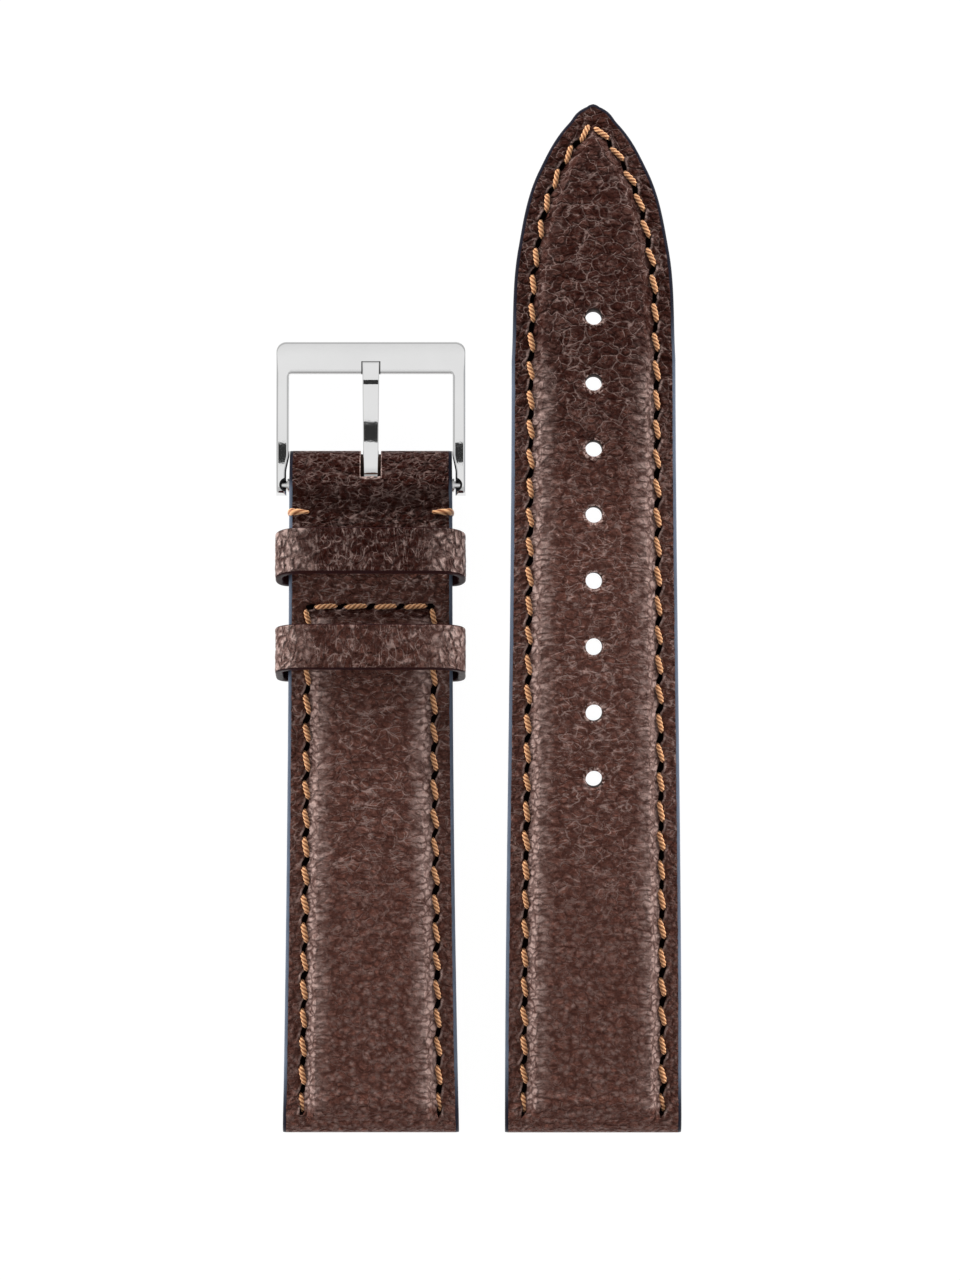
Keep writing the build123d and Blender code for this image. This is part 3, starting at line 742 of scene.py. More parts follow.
def stretched(tree, place, stretch, wave_mm, drift):
    """A place stretched across the strap and pushed about by a slow noise, so that no crease is straight."""
    push = add(tree, "ShaderNodeTexNoise", {"Scale": 1000.0 / wave_mm}, Vector=place).outputs["Color"]
    centred = add(tree, "ShaderNodeVectorMath", {"operation": "SUBTRACT"}, i0=push, i1=(0.5, 0.5, 0.5))
    moved = add(tree, "ShaderNodeVectorMath", {"operation": "SCALE", "Scale": drift}, i0=centred.outputs[0])
    total = add(tree, "ShaderNodeVectorMath", {"operation": "ADD"}, i0=place, i1=moved.outputs[0])
    return add(tree, "ShaderNodeVectorMath", {"operation": "MULTIPLY"}, i0=total.outputs[0],
               i1=stretch).outputs[0]


def ranged(tree, value, low, high, to_low=0.0, to_high=1.0):
    """A value eased from one range into another."""
    return add(tree, "ShaderNodeMapRange", {"interpolation_type": "SMOOTHSTEP", "From Min": low,
                                            "From Max": high, "To Min": to_low, "To Max": to_high},
               Value=value).outputs[0]


def mixed(tree, factor, first, second):
    """Two colours mixed."""
    return add(tree, "ShaderNodeMix", {"data_type": "RGBA"}, Factor=factor, i6=first, i7=second).outputs[2]


def two_tone(tree, factor, dark, light, low=0.0, high=1.0):
    """A value turned into a colour between two finishes."""
    node = add(tree, "ShaderNodeValToRGB", {}, Fac=factor)
    for element, position, hex_colour in zip(node.color_ramp.elements, (low, high), (dark, light)):
        element.position, element.color = position, linear(hex_colour)
    return node.outputs[0]


def folds(tree, place, cell_mm, stretch, crease, pillow):
    """Pillows of leather between sharp creases: the creases' own lines and the height of the pillows."""
    pushed = stretched(tree, place, stretch, 1.25 * cell_mm, 0.75 * cell_mm * MM)
    off = add(tree, "ShaderNodeTexVoronoi", {"feature": "DISTANCE_TO_EDGE", "Scale": 1000.0 / cell_mm},
              Vector=pushed).outputs["Distance"]
    return ranged(tree, off, 0.0, crease, 1.0, 0.0), ranged(tree, off, 0.02, pillow)


def strokes(tree, place, wave_mm, stretch, width, level=0.5):
    """Long wandering lines, where a stretched noise passes through one level."""
    field = add(tree, "ShaderNodeTexNoise", {"Scale": 1000.0 / wave_mm, "Detail": 1.0, "Roughness": 0.4},
                Vector=stretched(tree, place, stretch, 2 * wave_mm, 0.5 * wave_mm * MM)).outputs[0]
    return ranged(tree, maths(tree, "ABSOLUTE", maths(tree, "SUBTRACT", field, level)), 0.0, width, 1.0, 0.0)


def summed(tree, *pairs):
    """A sum of values, each times its weight."""
    total = 0.0
    for value, weight in pairs:
        total = maths(tree, "MULTIPLY_ADD", value, weight, total)
    return total


def highest(tree, *pairs):
    """The largest of several values, each times its weight."""
    total = 0.0
    for value, weight in pairs:
        total = maths(tree, "MAXIMUM", total, times(tree, value, weight))
    return total


def hole_rim_highlights(tree, x, y, rough):
    """Painted highlights in broken rings round the holes."""
    along = maths(tree, "DIVIDE", maths(tree, "SUBTRACT", TIP_Y - FIRST_HOLE, y), HOLE_PITCH)
    nearest = maths(tree, "ROUND", along)
    off = times(tree, maths(tree, "SUBTRACT", along, nearest), HOLE_PITCH)
    aside = maths(tree, "SUBTRACT", x, LONG_X)
    away = maths(tree, "SQRT", maths(tree, "MULTIPLY_ADD", off, off, times(tree, aside, aside)))
    ring = ranged(tree, away, HOLE_RADIUS + 0.42 * MM, HOLE_RADIUS + 0.1 * MM)
    first, last = ranged(tree, nearest, -0.9, -0.1), ranged(tree, nearest, 7.9, 7.1)
    return times(tree, ring, first, last, ranged(tree, rough, 0.44, 0.62))


def seam_shade(tree, aside, y):
    """Where the padding's end and the seam across it keep the light off the leather."""
    seam = BAR[1] - CROSS_SEAM
    return times(tree, ranged(tree, y, seam - 1.5 * MM, seam - 1.0 * MM),
                 ranged(tree, y, seam + 0.1 * MM, seam - 0.2 * MM), ranged(tree, aside, 7.4 * MM, 7.0 * MM))


def slot_rim(tree, aside, y):
    """Where the edge of the tongue's slot is coloured pale."""
    rear = BAR[1] + SLOT_BEHIND
    beside = times(tree, ranged(tree, aside, SLOT_WIDTH / 2 + 0.15 * MM, SLOT_WIDTH / 2 + 0.06 * MM),
                   ranged(tree, y, rear - 0.2 * MM, rear))
    behind = times(tree, ranged(tree, aside, 0.85 * MM, 0.6 * MM),
                   ranged(tree, y, rear - 0.25 * MM, rear - 0.12 * MM),
                   ranged(tree, y, rear + 0.4 * MM, rear + 0.3 * MM))
    return maths(tree, "MAXIMUM", beside, behind)


def edge_coat(tree, y, on_short, patches, paint):
    """Paint on the cut edges, blue-grey with a painted sheen, darker at the tip and at the ends by the watch.
    """
    c = colours()
    dark_ends = highest(tree, (ranged(tree, y, 26 * MM, 36 * MM), 1.0),
                        (ranged(tree, y, -50 * MM, -56 * MM), 1.0),
                        (ranged(tree, y, 14.5 * MM, 16 * MM), on_short))
    coat = mixed(tree, dark_ends, linear(paint), linear(c.edge_dark))
    return mixed(tree, times(tree, patches, 0.5), coat, linear(c.edge_dark))


def grain_leather(name, cell_mm, paint, lines=1.0, cross=(0.74, 1.3, 1.0), paint_reach=0.31, ends=0.0):
    """Calf leather, drum dyed and milled: cells between rubbed creases, with painted highlights and painted
    shade, pebbled at the lug ends.
    """
    c = colours()
    material, tree, shader = new_material(name)
    place = add(tree, "ShaderNodeTexCoord").outputs["Object"]
    split = add(tree, "ShaderNodeSeparateXYZ", {}, Vector=place)
    x, y = split.outputs["X"], split.outputs["Y"]
    edge, slit, lip, pad = (add(tree, "ShaderNodeAttribute", {"attribute_name": label}).outputs["Fac"]
                            for label in ("edge", "slit", "lip", "pad"))
    # Zones along the strap, and how far a point is from the short half's middle
    far, tip = ranged(tree, y, -46 * MM, -18 * MM), ranged(tree, y, 6 * MM, 30 * MM)
    on_short = maths(tree, "LESS_THAN", x, 0.0)
    bend = times(tree, ranged(tree, y, 0.0, 12 * MM), on_short)
    aside = maths(tree, "ABSOLUTE", maths(tree, "SUBTRACT", x, SHORT_X))
    keeper_middle = ranged(tree, aside, 5.0 * MM, 9.0 * MM, min(ends, 1.0), 0.0)
    # Painted highlight on the keepers' ends, where the loops curve down
    loop_ends = ranged(tree, aside, 5.2 * MM, 9.4 * MM, 0.0, ends)
    # Painted highlight on the padding's shoulders, where light from the sides falls on them
    shoulder = times(tree, ranged(tree, edge, 2.2, 2.6), ranged(tree, edge, 5.8, 3.0),
                     ranged(tree, pad, 0.5, 0.95), ranged(tree, y, 22 * MM, 34 * MM, 1.0, 0.12))
    # The grain's own patterns: soft noise by its waves' length in millimetres, then cells and folds
    gate, fray, patches, wear_and_highlight, pores = (
        add(tree, "ShaderNodeTexNoise", {"Scale": 1000.0 / wave_mm, "Detail": detail, "Roughness": ragged},
            Vector=place).outputs[0]
        for wave_mm, detail, ragged in ((2.3256, 2.0, 0.5), (1.1111, 2.0, 0.5), (3.3333, 3.0, 0.5),
                                        (0.90909, 3.0, 0.6), (0.30303, 3.0, 0.6)))
    off = add(tree, "ShaderNodeTexVoronoi", {"feature": "DISTANCE_TO_EDGE", "Scale": 1000.0 / cell_mm},
              Vector=stretched(tree, place, cross, 2.381, 2.6 * MM)).outputs["Distance"]
    plate = ranged(tree, off, 0.0, 0.2)
    soft = tuple(0.5 * (1.0 + size) for size in cross)
    run = (cross[0] ** 2, cross[1] ** 1.4, 1.0)
    curl, curl_pillow = folds(tree, place, 1.05263, soft, 0.06, 0.3)
    hair, hair_pillow = folds(tree, place, 0.52632, soft, 0.09, 0.35)
    rib_pillow = folds(tree, place, 1.0, (0.4, 1.4, 1.0), 0.06, 0.25)[1]
    pebbles = add(tree, "ShaderNodeTexVoronoi", {"Scale": 1000.0 / 0.714286},
                  Vector=stretched(tree, place, (0.9, 1.05, 1.0), 1.42857, 0.8 * MM)).outputs["Distance"]
    dome_share = summed(tree, (far, -0.75), (tip, -0.1), (1.0, 1.0))
    domes = times(tree, ranged(tree, pebbles, 0.05, 0.62, 1.0, 0.0), dome_share)
    # Rubbed lines with painted highlights along them, each kind strongest in its own zone
    broken = ranged(tree, wear_and_highlight, 0.45, 0.6, 0.25, 1.0)
    vein = times(tree, ranged(tree, off, 0.0, 0.05, 1.0, 0.0), ranged(tree, gate, 0.4, 0.54),
                 summed(tree, (tip, 0.75), (far, 0.2), (1.0, 0.05)))
    curl = times(tree, curl, broken, ranged(tree, gate, 0.62, 0.45, 0.35, 1.0),
                 summed(tree, (far, 0.1), (tip, 0.25), (1.0, 0.35)))
    hair = times(tree, hair, broken, ranged(tree, gate, 0.42, 0.56, 0.35, 1.0),
                 summed(tree, (tip, -0.05), (1.0, 0.6)))
    flow = highest(tree, (strokes(tree, place, 2.5641, run, 0.022), 1.0),
                   (strokes(tree, place, 1.5625, run, 0.026, 0.53), 0.8),
                   (strokes(tree, place, 2.12766, soft, 0.022, 0.47), 0.9))
    flow = times(tree, flow, ranged(tree, wear_and_highlight, 0.4, 0.58, 0.3, 1.0),
                 summed(tree, (far, 0.75), (tip, -0.95), (1.0, 0.25)))
    # Height of the grain in millimetres
    height = summed(tree, (times(tree, plate, summed(tree, (tip, 0.7), (far, 0.25))), 0.22 * lines),
                    (times(tree, curl_pillow, rest(tree, shoulder)), 0.22 * lines),
                    (hair_pillow, 0.09 * lines), (domes, 0.14), (times(tree, rib_pillow, shoulder), 0.16),
                    (pores, 0.06), (patches, 0.4))
    # Colour: the dye's tone, darker towards the tip, by the buckle and in the keepers' middles; painted shade
    # deep in the creases and under the cross seam; rubbed creases with painted highlights; painted shade in
    # the slits; and the edges' paint
    tone = summed(tree, (ranged(tree, pores, 0.36, 0.64), 0.3), (ranged(tree, wear_and_highlight, 0.35, 0.65), 0.45),
                  (1.0, 0.22), (tip, -0.95), (bend, -0.95), (dome_share, 0.12),
                  (times(tree, plate, tip), 0.3), (seam_shade(tree, aside, y), -0.8), (keeper_middle, -0.45))
    shade = mixed(tree, ranged(tree, tone, -0.55, 1.0), linear(c.leather_deep), linear(c.leather_body))
    # Painted shade deep in the creases and between the shoulders' ribs
    painted_crease_shade = highest(tree, (rest(tree, curl_pillow), 0.7), (rest(tree, hair_pillow), 0.5),
                   (times(tree, rest(tree, rib_pillow), shoulder), 0.9))
    shade = mixed(tree, painted_crease_shade, shade, linear(c.leather_deep))
    # Painted highlights on the creases, pebbles, shoulders, slits' lips, hole rims and keepers' ends, with
    # rubbed pale creases and the pale slot edge
    rubbed_and_highlit = highest(tree, (vein, 0.5), (curl, 0.8), (hair, 0.45), (flow, 0.62), (domes, 0.38),
                     (times(tree, shoulder, summed(tree, (rib_pillow, 0.6), (patches, 0.62))), 1.05),
                     (lip, 1.3), (hole_rim_highlights(tree, x, y, pores), 1.8), (slot_rim(tree, aside, y), 1.6),
                     (times(tree, loop_ends, summed(tree, (curl_pillow, 0.8), (1.0, 0.2))), 1.5))
    # Where the rubbed creases and painted highlights show, in broken patches
    rub_and_highlight_gate = ranged(tree, wear_and_highlight, 0.36, 0.56, 0.35, 1.0)
    shade = mixed(tree, times(tree, rubbed_and_highlit, rub_and_highlight_gate), shade, linear(c.leather_rub_highlight))
    # Painted shade: the slits are coloured near black for the darkness inside them
    opened = ranged(tree, slit, 0.02, 0.2)
    shade = mixed(tree, opened, shade, linear(c.slit))
    reach = maths(tree, "MULTIPLY_ADD", fray, 0.45 * paint_reach, paint_reach)
    painted = maths(tree, "LESS_THAN", edge, reach)
    coat = edge_coat(tree, y, on_short, patches, paint)
    rough = maths(tree, "MAXIMUM", ranged(tree, pores, 0.3, 0.7, 0.42, 0.28), times(tree, opened, 0.9))
    raised = add(tree, "ShaderNodeBump", {"Distance": MM}, Height=height, Strength=rest(tree, painted))
    feed(tree, shader, Base_Color=mixed(tree, painted, shade, coat), Roughness=rough, IOR=1.5,
         Specular_IOR_Level=0.07, Normal=raised.outputs[0])
    return material


def raw_leather(name):
    """Cut edge of vegetable-tanned leather: fibrous, matt, paler than the dyed face."""
    c = colours()
    material, tree, shader = new_material(name)
    place = add(tree, "ShaderNodeTexCoord").outputs["Object"]
    fibre = add(tree, "ShaderNodeTexNoise", {"Scale": 1000.0 / 0.2, "Detail": 3.0}, Vector=place).outputs[0]
    raised = add(tree, "ShaderNodeBump", {"Distance": 0.05 * MM}, Height=fibre)
    feed(tree, shader, Base_Color=two_tone(tree, fibre, c.cut_deep, c.cut_fibre), Roughness=0.8,
         Normal=raised.outputs[0])
    return material


def lining_leather(name):
    """Smooth lining leather, glazed: fine pores, even brown, a dull shine."""
    c = colours()
    material, tree, shader = new_material(name)
    place = add(tree, "ShaderNodeTexCoord").outputs["Object"]
    patches = add(tree, "ShaderNodeTexNoise", {"Scale": 1000.0 / 8.3333, "Detail": 4.0}, Vector=place)
    pores = add(tree, "ShaderNodeTexVoronoi", {"Scale": 1000.0 / 0.384615}, Vector=place)
    raised = add(tree, "ShaderNodeBump", {"Distance": 0.03 * MM}, Height=pores.outputs["Distance"])
    feed(tree, shader, Roughness=0.55, Normal=raised.outputs[0],
         Base_Color=two_tone(tree, patches.outputs[0], c.lining_deep, c.lining, 0.3, 0.7))
    return material


def waxed_thread(name):
    """Twisted polyester thread, waxed: painted shade between the plies, a soft gleam along them."""
    c = colours()
    material, tree, shader = new_material(name)
    place = add(tree, "ShaderNodeTexCoord").outputs["Object"]
    fibre = add(tree, "ShaderNodeTexNoise", {"Scale": 1000.0 / 0.111111}, Vector=place).outputs[0]
    ply = add(tree, "ShaderNodeAttribute", {"attribute_name": "ply"}).outputs["Fac"]
    # Painted shade between the plies, following each strand's twist
    height = maths(tree, "MULTIPLY_ADD", fibre, 0.3, ply)
    raised = add(tree, "ShaderNodeBump", {"Distance": 0.03 * MM}, Height=fibre)
    feed(tree, shader, Base_Color=two_tone(tree, height, c.thread_shade, c.thread, 0.25, 0.95),
         Roughness=0.5, Sheen_Weight=0.3, Normal=raised.outputs[0])
    return material


def polished_steel(name, roughness):
    """Stainless steel, mirror polished on a wheel: faint hairlines, crisp reflections."""
    c = colours()
    material, tree, shader = new_material(name)
    place = add(tree, "ShaderNodeTexCoord").outputs["Object"]
    smear = add(tree, "ShaderNodeTexNoise", {"Scale": 1000.0 / 3.84615}, Vector=place).outputs[0]
    rough = add(tree, "ShaderNodeMapRange", {"To Min": roughness * 0.5, "To Max": roughness * 1.6},
                Value=smear).outputs[0]
    hairlines = add(tree, "ShaderNodeTexNoise", {"Scale": 1000.0 / 0.4}, Vector=place)
    raised = add(tree, "ShaderNodeBump", {"Distance": 0.001 * MM}, Height=hairlines.outputs[0])
    feed(tree, shader, Base_Color=two_tone(tree, smear, c.steel_smear, c.steel), Roughness=rough,
         Metallic=1.0, Normal=raised.outputs[0])
    return material


def recess_shaded_steel(name):
    """Stainless steel in the buckle's recesses, dull and coloured nearly black as painted shade."""
    c = colours()
    material, tree, shader = new_material(name)
    place = add(tree, "ShaderNodeTexCoord").outputs["Object"]
    grit = add(tree, "ShaderNodeTexNoise", {"Scale": 1000.0 / 0.25}, Vector=place).outputs[0]
    feed(tree, shader, Base_Color=mixed(tree, grit, linear(c.recess_shade_deep), linear(c.recess_shade)),
         Roughness=0.45, Metallic=1.0)
    return material


def white_ground(name):
    """Seamless paper sweep, lit from behind in the picture: white to the camera, grey under the part."""
    material, tree, shader = new_material(name)
    feed(tree, shader, Base_Color=linear(colours().floor), Roughness=1.0, Specular_IOR_Level=0.0)
    rays = add(tree, "ShaderNodeLightPath")
    seen = maths(tree, "MAXIMUM", rays.outputs["Is Camera Ray"], rays.outputs["Is Glossy Ray"])
    seen = maths(tree, "MAXIMUM", seen, rays.outputs["Is Transmission Ray"])
    glow = add(tree, "ShaderNodeEmission", {"Color": (1, 1, 1, 1), "Strength": 1.08})
    mix = add(tree, "ShaderNodeMixShader", {}, Fac=times(tree, seen, 0.9), i1=shader.outputs[0],
              i2=glow.outputs[0])
    feed(tree, next(node for node in tree.nodes if node.type == "OUTPUT_MATERIAL"), i0=mix.outputs[0])
    return material


# Operators


class STRAP_OT_stage(bpy.types.Operator):
    """Sets up the pale ground, the studio light and the camera over the strap"""

    bl_idname = "strap.stage"
    bl_label = "Stage"

    def execute(self, context):
        scene = context.scene
        scene.view_settings.view_transform = "Standard"
        ground = mesh_object("ground", [(-3, -3, 0), (3, -3, 0), (3, 3, 0), (-3, 3, 0)], [(0, 1, 2, 3)],
                             white_ground("seamless_paper"))
        ground.location.z = -0.02 * MM
        self.world(scene)
        self.lamps(scene)
        self.camera(scene)
        return {"FINISHED"}

    def world(self, scene):
        """A white tent, with the lens's own dark spot overhead that polished metal shows"""
        world = bpy.data.worlds.new("studio")
        scene.world = world
        world.use_nodes = True
        tree = world.node_tree
        tree.nodes.clear()
        output = add(tree, "ShaderNodeOutputWorld")
        rays = add(tree, "ShaderNodeLightPath")
        glossy = rays.outputs["Is Glossy Ray"]
        seen = maths(tree, "MAXIMUM", rays.outputs["Is Camera Ray"], rays.outputs["Is Transmission Ray"])
        around = add(tree, "ShaderNodeTexCoord").outputs["Generated"]
        way = add(tree, "ShaderNodeSeparateXYZ", {}, Vector=around)
        aside = maths(tree, "LESS_THAN", maths(tree, "ABSOLUTE", way.outputs["X"]), 0.075)
        ahead = maths(tree, "ABSOLUTE", maths(tree, "SUBTRACT", way.outputs["Y"], 0.041))
        above = maths(tree, "GREATER_THAN", way.outputs["Z"], 0.5)
        lens = times(tree, aside, maths(tree, "LESS_THAN", ahead, 0.026), above, glossy)
        overhead = ranged(tree, way.outputs["Z"], 0.93, 0.96, 0.26, 0.62)
        bright = times(tree, maths(tree, "MULTIPLY_ADD", glossy, overhead, 0.3),
                       maths(tree, "MULTIPLY_ADD", lens, -0.96, 1.0))
        room = add(tree, "ShaderNodeBackground", {"Color": (1, 1, 1, 1)}, Strength=bright)
        white = add(tree, "ShaderNodeBackground", {"Color": (1, 1, 1, 1), "Strength": 1.0})
        mix = add(tree, "ShaderNodeMixShader", {}, Fac=seen, i1=room.outputs[0], i2=white.outputs[0])
        tree.links.new(mix.outputs[0], output.inputs[0])

    def lamps(self, scene):
        """Long softboxes left and right, weaker ones ahead and behind"""
        for name, place, size, power in (
                ("left_softbox", (-0.62, 0.05, 0.11), (0.9, 0.12), 4.6),
                ("right_softbox", (0.62, 0.0, 0.11), (0.9, 0.12), 5.0),
                ("far_softbox", (-0.1, 0.7, 0.16), (0.6, 0.16), 4.6),
                ("near_softbox", (0.1, -0.7, 0.2), (0.6, 0.16), 0.9)):
            light = bpy.data.lights.new(name, "AREA")
            light.shape = "RECTANGLE"
            light.size, light.size_y = size
            light.energy = power
            lamp = bpy.data.objects.new(name, light)
            lamp.location = place
            lamp.visible_glossy = False
            lamp.rotation_euler = (-Vector(place)).to_track_quat("-Z", "Y").to_euler()
            scene.collection.objects.link(lamp)

    def camera(self, scene):
        """Looks straight down from where the photograph was taken"""
        # One pixel of the 960 x 1280 picture is this long on the strap
        pixel = 0.1133 * MM
        distance = 0.56
        strap_top = 3 * MM
        data = bpy.data.cameras.new("camera")
        data.sensor_fit = "AUTO"
        data.sensor_width = 36.0
        data.lens = data.sensor_width * distance / (1280 * pixel)
        data.clip_start = 0.01
        camera = bpy.data.objects.new("camera", data)
        camera.location = ((480 - 478.7) * pixel, (618.8 - 640) * pixel, distance + strap_top)
        scene.collection.objects.link(camera)
        scene.camera = camera


class STRAP_OT_long_leather(bpy.types.Operator):
    """Builds the padded leather of the long half, with its eye, holes and painted edges"""

    bl_idname = "strap.long_leather"
    bl_label = "Long half, leather"

    def execute(self, context):
        arch = long_arch()
        step = sizes().mesh_step
        rows = spaced_rows(LUG_END_Y, TIP_Y, step, EYE_RADIUS, 2.2 * MM)
        piece = body_mesh("long_leather", arch, long_half_width, rows, long_top, long_bottom, lug_fade,
                          bpy.data.materials["calf_pebbled_dyed"], True, slit_spots("long"))
        piece.data.materials.append(bpy.data.materials["cut_leather_raw"])
        carve(piece, [bar_cutter(LONG_X, arch.eye_y, EYE_RADIUS, EYE_BORE, 30 * MM)] + punches(arch))
        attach(piece, "long_strap")
        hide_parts("long_top_leather", "long_padding", "long_stiffener")
        return {"FINISHED"}


class STRAP_OT_short_leather(bpy.types.Operator):
    """Builds the padded leather of the short half, folded round the buckle's bar"""

    bl_idname = "strap.short_leather"
    bl_label = "Short half, leather"

    def execute(self, context):
        arch = short_arch()
        s = sizes()
        rows = spaced_rows(LUG_END_Y, FOLD_Y, s.mesh_step, EYE_RADIUS, LOOP_NOSE_RADIUS)
        piece = body_mesh("short_leather", arch, short_half_width, rows, short_top, short_bottom, short_pad,
                          bpy.data.materials["calf_pebbled_dyed"], False,
                          slit_spots("short") + self.cross_slits())
        piece.data.materials.append(bpy.data.materials["cut_leather_raw"])
        lean = float(arch.lean(BAR[1]))

        def place(x, along, up):
            return (SHORT_X + x, BAR[1] + along * cos(lean) + up * sin(lean),
                    BAR[2] - along * sin(lean) + up * cos(lean))

        cutters = [profile_cutter(self.slot(), -SLOT_WIDTH / 2, SLOT_WIDTH / 2, place),
                   profile_cutter(self.hollow(), -12 * MM, 12 * MM, place),
                   bar_cutter(SHORT_X, arch.eye_y, EYE_RADIUS, EYE_BORE, 30 * MM)]
        carve(piece, cutters)
        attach(piece, "short_strap")
        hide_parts("short_top_leather", "short_padding", "short_stiffener", "fold_filler")
        return {"FINISHED"}

    def cross_slits(self):
        """The slits between and beside the cross seam's stitches"""
        turn, share = pi / 2 + radians(10), 0.62
        return [(step * CROSS_PITCH, BAR[1] - CROSS_SEAM, turn, share) for step in range(-2, 3)]

    def hollow(self):
        """Side outline of the room for the bar: a round at the bar and one at the fold."""
        wide, nose = LOOP_RADIUS - LEATHER, LOOP_NOSE_RADIUS - LEATHER
        front = FOLD_Y - BAR[1] - LOOP_NOSE_RADIUS
        turn = np.linspace(-pi / 2, pi / 2, 17)
        outline = [(front + nose * cos(t), nose * sin(t)) for t in turn]
        outline += [(wide * cos(t), wide * sin(t)) for t in np.linspace(pi / 2, 3 * pi / 2, 17)]
        return outline

    def slot(self):
        """Side outline of the tongue's slot and the room for its ring, open to the front, above and below."""
        slope = (SLOT_BEHIND - SLOT_ROOT) / (LOOP_RADIUS - RING_ROOM)
        far = SLOT_BEHIND + slope * 2 * MM
        reach = LOOP_RADIUS + 2 * MM
        ring = [(RING_ROOM * cos(t), RING_ROOM * sin(t)) for t in np.linspace(pi / 2, 1.75 * pi, 25)]
        low = 0.7 * MM
        return ring + [(8 * MM, -low), (8 * MM, reach), (far, reach), (SLOT_ROOT, RING_ROOM)]


class STRAP_OT_linings(bpy.types.Operator):
    """Lays the lining leather under both halves"""

    bl_idname = "strap.linings"
    bl_label = "Linings"

    def execute(self, context):
        low = LUG_END_Y + EYE_RADIUS + EYE_TAPER + FLAP_RETURN
        long_lining = self.skin("long_lining", long_arch(), long_half_width, low, TIP_Y - 1.6 * MM)
        long_lining.data.materials.append(bpy.data.materials["cut_leather_raw"])
        carve(long_lining, punches(long_arch()))
        short_lining = self.skin("short_lining", short_arch(), short_half_width, low,
                                 BAR[1] - CROSS_SEAM - FLAP_PAST_SEAM)
        for piece, node, body in ((long_lining, "long_lining", "long_strap"),
                                  (short_lining, "short_lining", "short_strap")):
            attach(piece, body)
            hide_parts(node)
        return {"FINISHED"}

    def skin(self, node, arch, width_at, low, high):
        """A flat piece with a soft edge, from low to high along the strap"""
        margin = 0.45 * MM
        y = np.repeat(np.linspace(low, high, 120)[:, None], 24, 1)
        across = np.linspace(-1, 1, 24)[None, :]
        x = across * np.maximum(width_at(y[:, :1]) - margin, 0.2 * MM)
        skin = 0.06 * MM * np.sqrt(np.clip(1 - np.abs(across) ** 12, 0, 1)) + 0 * x
        points = np.concatenate([arch.place(x, y, -skin).reshape(-1, 3),
                                 arch.place(x, y, 0.2 * MM + 0 * x).reshape(-1, 3)])
        rows, columns = x.shape
        half = rows * columns
        faces = grid_faces(rows, columns) + [face[::-1] for face in grid_faces(rows, columns, start=half)]
        rim = list(range(columns)) + [(r + 1) * columns - 1 for r in range(1, rows)]
        rim += [half - 1 - c for c in range(1, columns)] + [r * columns for r in range(rows - 2, 0, -1)]
        faces += [(a, b, b + half, a + half) for a, b in zip(rim, rim[1:] + rim[:1])]
        return mesh_object(node + "_skin", points, faces, bpy.data.materials["lining_glazed"])


def thread_strand(size, width, height, plies=3, turns=2.3, around=18, along=36):
    """Points, faces and ply shading of one stitch: a twisted strand that dives in at both ends."""
    t = np.linspace(-1, 1, along)
    theta = np.linspace(0, 2 * pi, around, endpoint=False)
    tt, th = np.meshgrid(t, theta, indexing="ij")
    twist = plies * th - 2 * pi * turns * tt
    ply = 0.5 + 0.5 * np.cos(twist)
    body = np.sqrt(np.clip(1 - np.abs(tt) ** 3.5, 0.02, 1))
    radius = (0.78 + 0.22 * ply) * body
    x = radius * np.cos(th) * width / 2
    z = radius * np.sin(th) * height / 2 - height * 0.9 * np.abs(tt) ** 5
    points = np.stack([x, tt * size / 2, z], -1).reshape(-1, 3)
    return points, capped(along, around), ply.reshape(-1)


def gather(name, parts, material):
    """Joins many small sets of points and faces into one piece, with their ply shading."""
    points, faces, plies, start = [], [], [], 0
    for part_points, part_faces, part_ply in parts:
        points.append(part_points)
        faces += [tuple(i + start for i in face) for face in part_faces]
        plies.append(part_ply)
        start += len(part_points)
    piece = mesh_object(name, np.concatenate(points), faces, material)
    set_attribute(piece, "ply", np.concatenate(plies))
    return piece


def seat(arch, x, y, level, turn, points, flip=False):
    """Turns points about the leather's normal and seats them on the arch."""
    lean = float(arch.lean(y))
    if flip:
        points = points * np.array([1, 1, -1])
    c, sn = cos(turn), sin(turn)
    px = points[:, 0] * c - points[:, 1] * sn
    py = points[:, 0] * sn + points[:, 1] * c
    pz = points[:, 2]
    middle = arch.place(np.array(float(x)), np.array(float(y)), np.array(float(level)))
    along = np.array([0, cos(lean), -sin(lean)])
    up = np.array([0, sin(lean), cos(lean)])
    return middle + px[:, None] * np.array([1, 0, 0]) + py[:, None] * along + pz[:, None] * up


